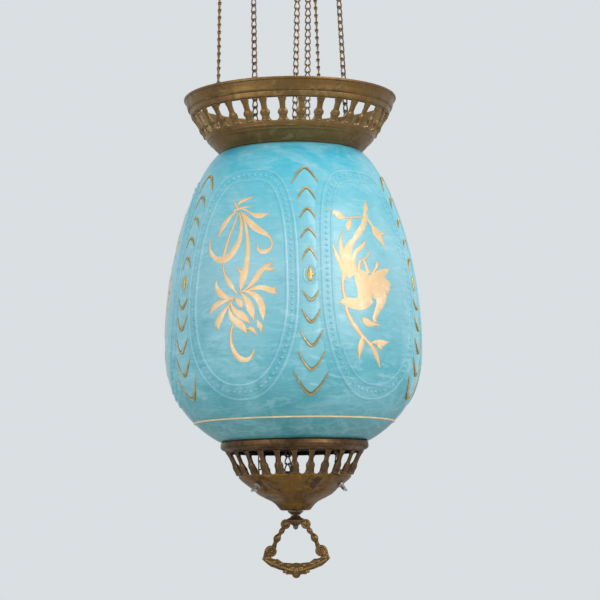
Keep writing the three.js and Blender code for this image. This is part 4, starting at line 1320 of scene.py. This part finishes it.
# Middles of the volutes at the top and of the scrolls at the ends of the bar, and the outline
# of the thin disc behind their coils
VOLUTE = (8.4, 7.4)
SCROLL = (20.5, 29.8)
SCROLL_SIZE = 1.45
COIL_DISC = [(0, -0.8), (2.6, -0.8), (3.0, -0.5), (3.0, 0.5), (2.6, 0.8), (0, 0.8)]

# Beaded arm: its line, and its radius by share of its length
ARM_LINE = [(9.6, 9.6), (11.6, 13), (13.9, 16.2), (15.8, 19.6), (17.2, 22.8), (18.4, 26.4)]
ARM_RADII = [
    (0, 1.6), (0.06, 1.4), (0.12, 2.1), (0.2, 2.4), (0.28, 2.0), (0.32, 1.5), (0.37, 1.6),
    (0.44, 2.4), (0.52, 3.1), (0.6, 3.1), (0.68, 2.5), (0.74, 1.8), (0.8, 1.7), (1.0, 2.2),
]

# Leafy bar: its outline, the vein along its face with a radius for each point, and the knobs
# of its leaves with their sizes
BAR_THICK = 4.2
BAR_EDGE = [
    (0, 52), (2.4, 51.2), (3.6, 48.9), (5.6, 48.6), (8.6, 48.9), (9.0, 46.4), (11.2, 45.4),
    (14.4, 44.6), (17.8, 43.2), (21.2, 42.0), (24.2, 39.6), (26.6, 37.4), (28.5, 35.8), (27.4, 34.2),
    (26.8, 32), (26, 28.5), (24.8, 26.6), (22.8, 29.6), (21.8, 33.2), (19.8, 35.2), (17.4, 36),
    (15.2, 35.8), (13.2, 37.2), (11, 38.8), (6, 39.2), (3.2, 39.6), (0, 39),
]
VEIN = [(25.4, 36.2), (21.6, 38.4), (17.2, 40.2), (12.6, 42.4), (7.6, 44.2), (2.4, 45.4)]
VEIN_RADII = [0.7, 1.3, 1.5, 1.4, 1.2, 0.7]
LEAF_KNOBS = [
    (23.6, 35, 1.4), (18.4, 38.2, 1.3), (13.2, 40, 1.3), (9.6, 46.2, 1.5), (6.6, 41.2, 1.2),
    (3.4, 43.6, 1.5),
]
MIDDLE_LEAF_DOWN = 46.6
MIDDLE_LEAF_SIZE = (2.1, 1.1, 3.6)

# How far the vein, the knobs and the middle leaf stand out from the middle of the bar
VEIN_OUT = 2.0
KNOB_OUT = 1.9
MIDDLE_LEAF_OUT = 1.8


def ring_arm(bm, side):
    """A beaded arm, and the coil of its volute on a small knob."""
    line = smooth_line(ARM_LINE, 8)
    last = len(line) - 1
    arm = [ring_point(side * x, down) for x, down in line]
    added(bm, tube(arm, [at_share(ARM_RADII, i / last) for i in range(last + 1)], 14))
    coil = spiral(VOLUTE, 3.0, 2.7, start_angle=140, turns=-1, side=side, steps=26)
    added(bm, tube(coil, 1.25, 10, up=(0, 1, 0)))
    added(bm, ball(ring_point(side * VOLUTE[0], VOLUTE[1]), (1.2, 2.2, 1.2), 12))


def coil_discs(bm, side):
    """Discs behind the coils of the volute and of the scroll."""
    for centre, size in ((VOLUTE, 1.0), (SCROLL, SCROLL_SIZE)):
        flat = rotated(turned([(radius * size, z) for radius, z in COIL_DISC], 24), 90, "X")
        bmesh.ops.translate(flat, vec=ring_point(side * centre[0], centre[1]), verts=flat.verts)
        added(bm, flat)


def ring_scroll(bm, side):
    """The coil at the end of the bar, thinner towards its knob."""
    coil = spiral(SCROLL, 4.5, 1.5, start_angle=-60, turns=1.6, side=side, steps=34)
    radii = [1.6 - 0.6 * i / len(coil) for i in range(len(coil))]
    added(bm, tube(coil, radii, 10, up=(0, 1, 0)))
    added(bm, ball(ring_point(side * SCROLL[0], SCROLL[1]), (1.1, 2.2, 1.1), 12))


def bar_leaves(bm, side):
    """Raised vein and leaf knobs on both faces of one half of the bar."""
    for face in (-1, 1):
        path = [(side * x, face * VEIN_OUT, PULL_TOP - down) for x, down in VEIN]
        added(bm, tube(path, VEIN_RADII, 8))
        for x, down, size in LEAF_KNOBS:
            centre = (side * x, face * KNOB_OUT, PULL_TOP - down)
            added(bm, ball(centre, (size * 1.3, 0.9, size), 10))


def pull_ring_piece():
    """The whole casting: cap, bar, bridge, both arms with their scrolls, and the middle leaf."""
    cap = [(radius, PULL_TOP - down) for radius, down in eased(BELL_CAP, 0.5, 2)]
    bm = turned(cap, 40)
    added(bm, ring_plate(BAR_EDGE, BAR_THICK))
    added(bm, tube([ring_point(x, down) for x, down in BRIDGE], 2.2, 10))
    for side in (-1, 1):
        ring_arm(bm, side)
        coil_discs(bm, side)
        ring_scroll(bm, side)
        bar_leaves(bm, side)
    for face in (-1, 1):
        centre = (0, face * MIDDLE_LEAF_OUT, PULL_TOP - MIDDLE_LEAF_DOWN)
        added(bm, ball(centre, MIDDLE_LEAF_SIZE, 12))
    make_piece("pull_ring_casting", bm, RING_BRASS, "ring", ["pull_ring"], sharp=50)


pull_ring_piece()


# Ladder chains

# Half width of a link at its rails and at its hook, and the left half of its wire as (x, up
# the chain, depth): from the end of the hook over the bar above and down the rail
LINK_WIDE = 2.3
LINK_NECK = 1.05
LINK_HALF = [
    (-LINK_NECK, 4.9, -0.9), (-LINK_NECK, 6.3, -1.2), (-LINK_NECK, 7.25, -0.1),
    (-LINK_NECK, 6.5, 1.05), (-LINK_NECK - 0.1, 5.2, 0.55), (-LINK_WIDE + 0.25, 3.4, 0.0),
    (-LINK_WIDE, 1.6, 0.0), (-LINK_WIDE + 0.1, 0.3, 0.0), (-LINK_WIDE + 0.8, -0.1, 0.0),
]
LINK_PATH = LINK_HALF + [(-x, up, depth) for x, up, depth in reversed(LINK_HALF)]


def chain_links(stations):
    """Links hung between stations, each a point and the direction of the link's width."""
    bm = bmesh.new()
    for (low, _), (high, across) in zip(stations, stations[1:]):
        up = (high - low).normalized()
        stretch = (high - low).length / CHAIN_PITCH
        across = (across - up * across.dot(up)).normalized()
        depth = across.cross(up)
        path = [low + across * x + up * (y * stretch) + depth * z for x, y, z in LINK_PATH]
        added(bm, tube(path, CHAIN_WIRE / 2, 5, up=depth))
    return bm


def fall_stations(low, high, twist):
    """Stations up a straight fall. twist gives the azimuth of its width by share of height."""
    count = round((high - low).length / CHAIN_PITCH)
    shares = [i / count for i in range(count + 1)]
    return [(low.lerp(high, share), polar(1, at_share(twist, share) + 90, 0)) for share in shares]


def wrap_stations(azimuth):
    """Stations over the pulley, from the outer fall to the inner one."""
    count = round(math.pi * CHAIN_BEND_R / CHAIN_PITCH)
    out = polar(1, azimuth, 0)
    stations = []
    for i in range(count + 1):
        angle = math.pi * i / count
        point = polar(AXLE_RING_R, azimuth, AXLE_Z) + out * (CHAIN_BEND_R * math.cos(angle))
        point.z += CHAIN_BEND_R * math.sin(angle)
        stations.append((point, polar(1, azimuth + 90, 0)))
    return stations


HOOK_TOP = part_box("crown_hook_1")[1].z / MM
STRAP_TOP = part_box("chain_strap_1")[1].z / MM
FALL_TOP = AXLE_Z - SEAT


def outer_fall(number, turn):
    """Links from an ear in the crown up to the pulley. They close up as the crown rises."""
    hook_at = HOOK_AZIMUTH + turn
    pulley_at = PULLEY_AZIMUTH + turn
    low = polar(HOOK_R, hook_at, HOOK_TOP + SEAT)
    high = polar(OUTER_FALL_R, pulley_at, FALL_TOP)
    links = chain_links(fall_stations(low, high, [(0, hook_at), (1, pulley_at)]))
    piece = make_piece(f"outer_links_{number}", links, CHAIN_BRASS, "frame",
                       [f"outer_chain_{number}"])
    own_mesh(piece)


def inner_fall(number, turn):
    """Links from a strap in the bowl up to the pulley. They stretch as the bowl drops."""
    anchor_at = ANCHOR_AZIMUTH + turn
    pulley_at = PULLEY_AZIMUTH + turn
    low = polar(ANCHOR_R, anchor_at, STRAP_TOP + SEAT)
    high = polar(INNER_FALL_R, pulley_at, FALL_TOP)
    twist = [(0, anchor_at), (0.45, anchor_at + 12), (0.7, pulley_at + 46), (0.85, pulley_at + 40),
             (1, pulley_at)]
    links = chain_links(fall_stations(low, high, twist))
    piece = make_piece(f"inner_links_{number}", links, CHAIN_BRASS, "frame",
                       [f"inner_chain_{number}"], rides=False)
    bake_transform(piece)


for index in range(CHAINS):
    number = index + 1
    turn = CHAIN_STEP * index
    outer_fall(number, turn)
    inner_fall(number, turn)
    links = chain_links(wrap_stations(PULLEY_AZIMUTH + turn))
    make_piece(f"wrap_links_{number}", links, CHAIN_BRASS, "frame",
               [f"chain_wrap_{number}"])


# Plain CAD pieces that keep their shape

FINISHES = {
    "hanger_loop": HUB_BRASS, "pulley_frame": HUB_BRASS, "center_rod": DARK_BRASS,
    "rod_nut": SCREW_STEEL, "neck_nut": DARK_BRASS, "candle_cup": HUB_BRASS,
    "drip_pan": HUB_BRASS, "candle": WAX, "wick": COTTON,
}
SET_FINISHES = {
    "axle_pin": SCREW_STEEL, "pulley": HUB_BRASS, "crown_hook": HUB_BRASS, "shade_clip": HUB_BRASS,
    "chain_strap": HUB_BRASS, "thumb_screw": SCREW_STEEL,
}
for kind, finish in SET_FINISHES.items():
    FINISHES.update({f"{kind}_{number}": finish for number in range(1, CHAINS + 1)})

for name, finish in FINISHES.items():
    materials = NODES[name].data.materials
    materials.clear()
    materials.append(finish)


# Room, light and camera. The floor's size and height are in metres.

BACKDROP = (0.7, 0.735, 0.76)
FLOOR_R = 7
FLOOR_Z = -1.25
SENSOR = 36


def pale_floor():
    """A plain floor under the lamp that keeps its shadow."""
    bm = bmesh.new()
    bmesh.ops.create_circle(bm, cap_ends=True, segments=64, radius=FLOOR_R)
    mesh = bpy.data.meshes.new("floor")
    bm.to_mesh(mesh)
    bm.free()
    floor = bpy.data.objects.new("floor", mesh)
    bpy.context.scene.collection.objects.link(floor)
    floor.location.z = FLOOR_Z
    material, _, shader = new_material("floor", Roughness=0.9)
    shader.inputs["Base Color"].default_value = (*BACKDROP, 1)
    mesh.materials.append(material)


def room_light(lit):
    """World that lights plainly, and shows a pale grey to the camera and in reflections."""
    world = bpy.data.worlds.new("room")
    bpy.context.scene.world = world
    world.use_nodes = True
    tree = world.node_tree
    tree.nodes.clear()
    output = tree.nodes.new("ShaderNodeOutputWorld")
    light = tree.nodes.new("ShaderNodeBackground")
    light.inputs["Color"].default_value = (1, 1, 1, 1)
    light.inputs["Strength"].default_value = lit
    shown = tree.nodes.new("ShaderNodeBackground")
    shown.inputs["Color"].default_value = (*BACKDROP, 1)
    shown.inputs["Strength"].default_value = 1.0
    path = tree.nodes.new("ShaderNodeLightPath")
    seen = maths(tree, "MAXIMUM", path.outputs["Is Camera Ray"], path.outputs["Is Glossy Ray"])
    seen = maths(tree, "MAXIMUM", seen, path.outputs["Is Transmission Ray"])
    mix = tree.nodes.new("ShaderNodeMixShader")
    tree.links.new(seen, mix.inputs["Fac"])
    tree.links.new(light.outputs["Background"], mix.inputs[1])
    tree.links.new(shown.outputs["Background"], mix.inputs[2])
    tree.links.new(mix.outputs["Shader"], output.inputs["Surface"])


def soft_box(name, at, aim, size, power):
    """An area light aimed at a point, both in millimetres, its size in metres."""
    light = bpy.data.lights.new(name, "AREA")
    light.shape = "RECTANGLE"
    light.size, light.size_y = size
    light.energy = power
    lamp = bpy.data.objects.new(name, light)
    bpy.context.scene.collection.objects.link(lamp)
    lamp.location = Vector(at) * MM
    lamp.rotation_euler = (Vector(aim) - Vector(at)).to_track_quat("-Z", "Y").to_euler()


def photo_camera():
    """The camera that the photograph was taken with, as it was fitted."""
    data = bpy.data.cameras.new("camera")
    data.sensor_width = SENSOR
    data.lens = FOCAL_PIXELS / PHOTO_SIDE * SENSOR
    data.clip_end = 100
    camera = bpy.data.objects.new("camera", data)
    bpy.context.scene.collection.objects.link(camera)
    camera.location = Vector((CAMERA_SIDE, -CAMERA_AWAY, CAMERA_HEIGHT)) * MM
    aim = Matrix.Rotation(math.radians(90 + CAMERA_PITCH), 4, "X")
    roll = Matrix.Rotation(math.radians(CAMERA_ROLL), 4, "Z")
    camera.rotation_euler = (aim @ roll).to_euler()
    bpy.context.scene.camera = camera


pale_floor()
room_light(lit=0.5)
soft_box("key_light", at=(1250, -1150, 250), aim=(0, 0, -400), size=(1.3, 1.3), power=20)
soft_box("fill_light", at=(-1300, -1300, -200), aim=(0, 0, -420), size=(1.4, 1.4), power=11)
soft_box("top_light", at=(100, 300, 900), aim=(0, 0, -300), size=(0.8, 0.8), power=8)
photo_camera()
bpy.context.scene.view_settings.view_transform = "Standard"
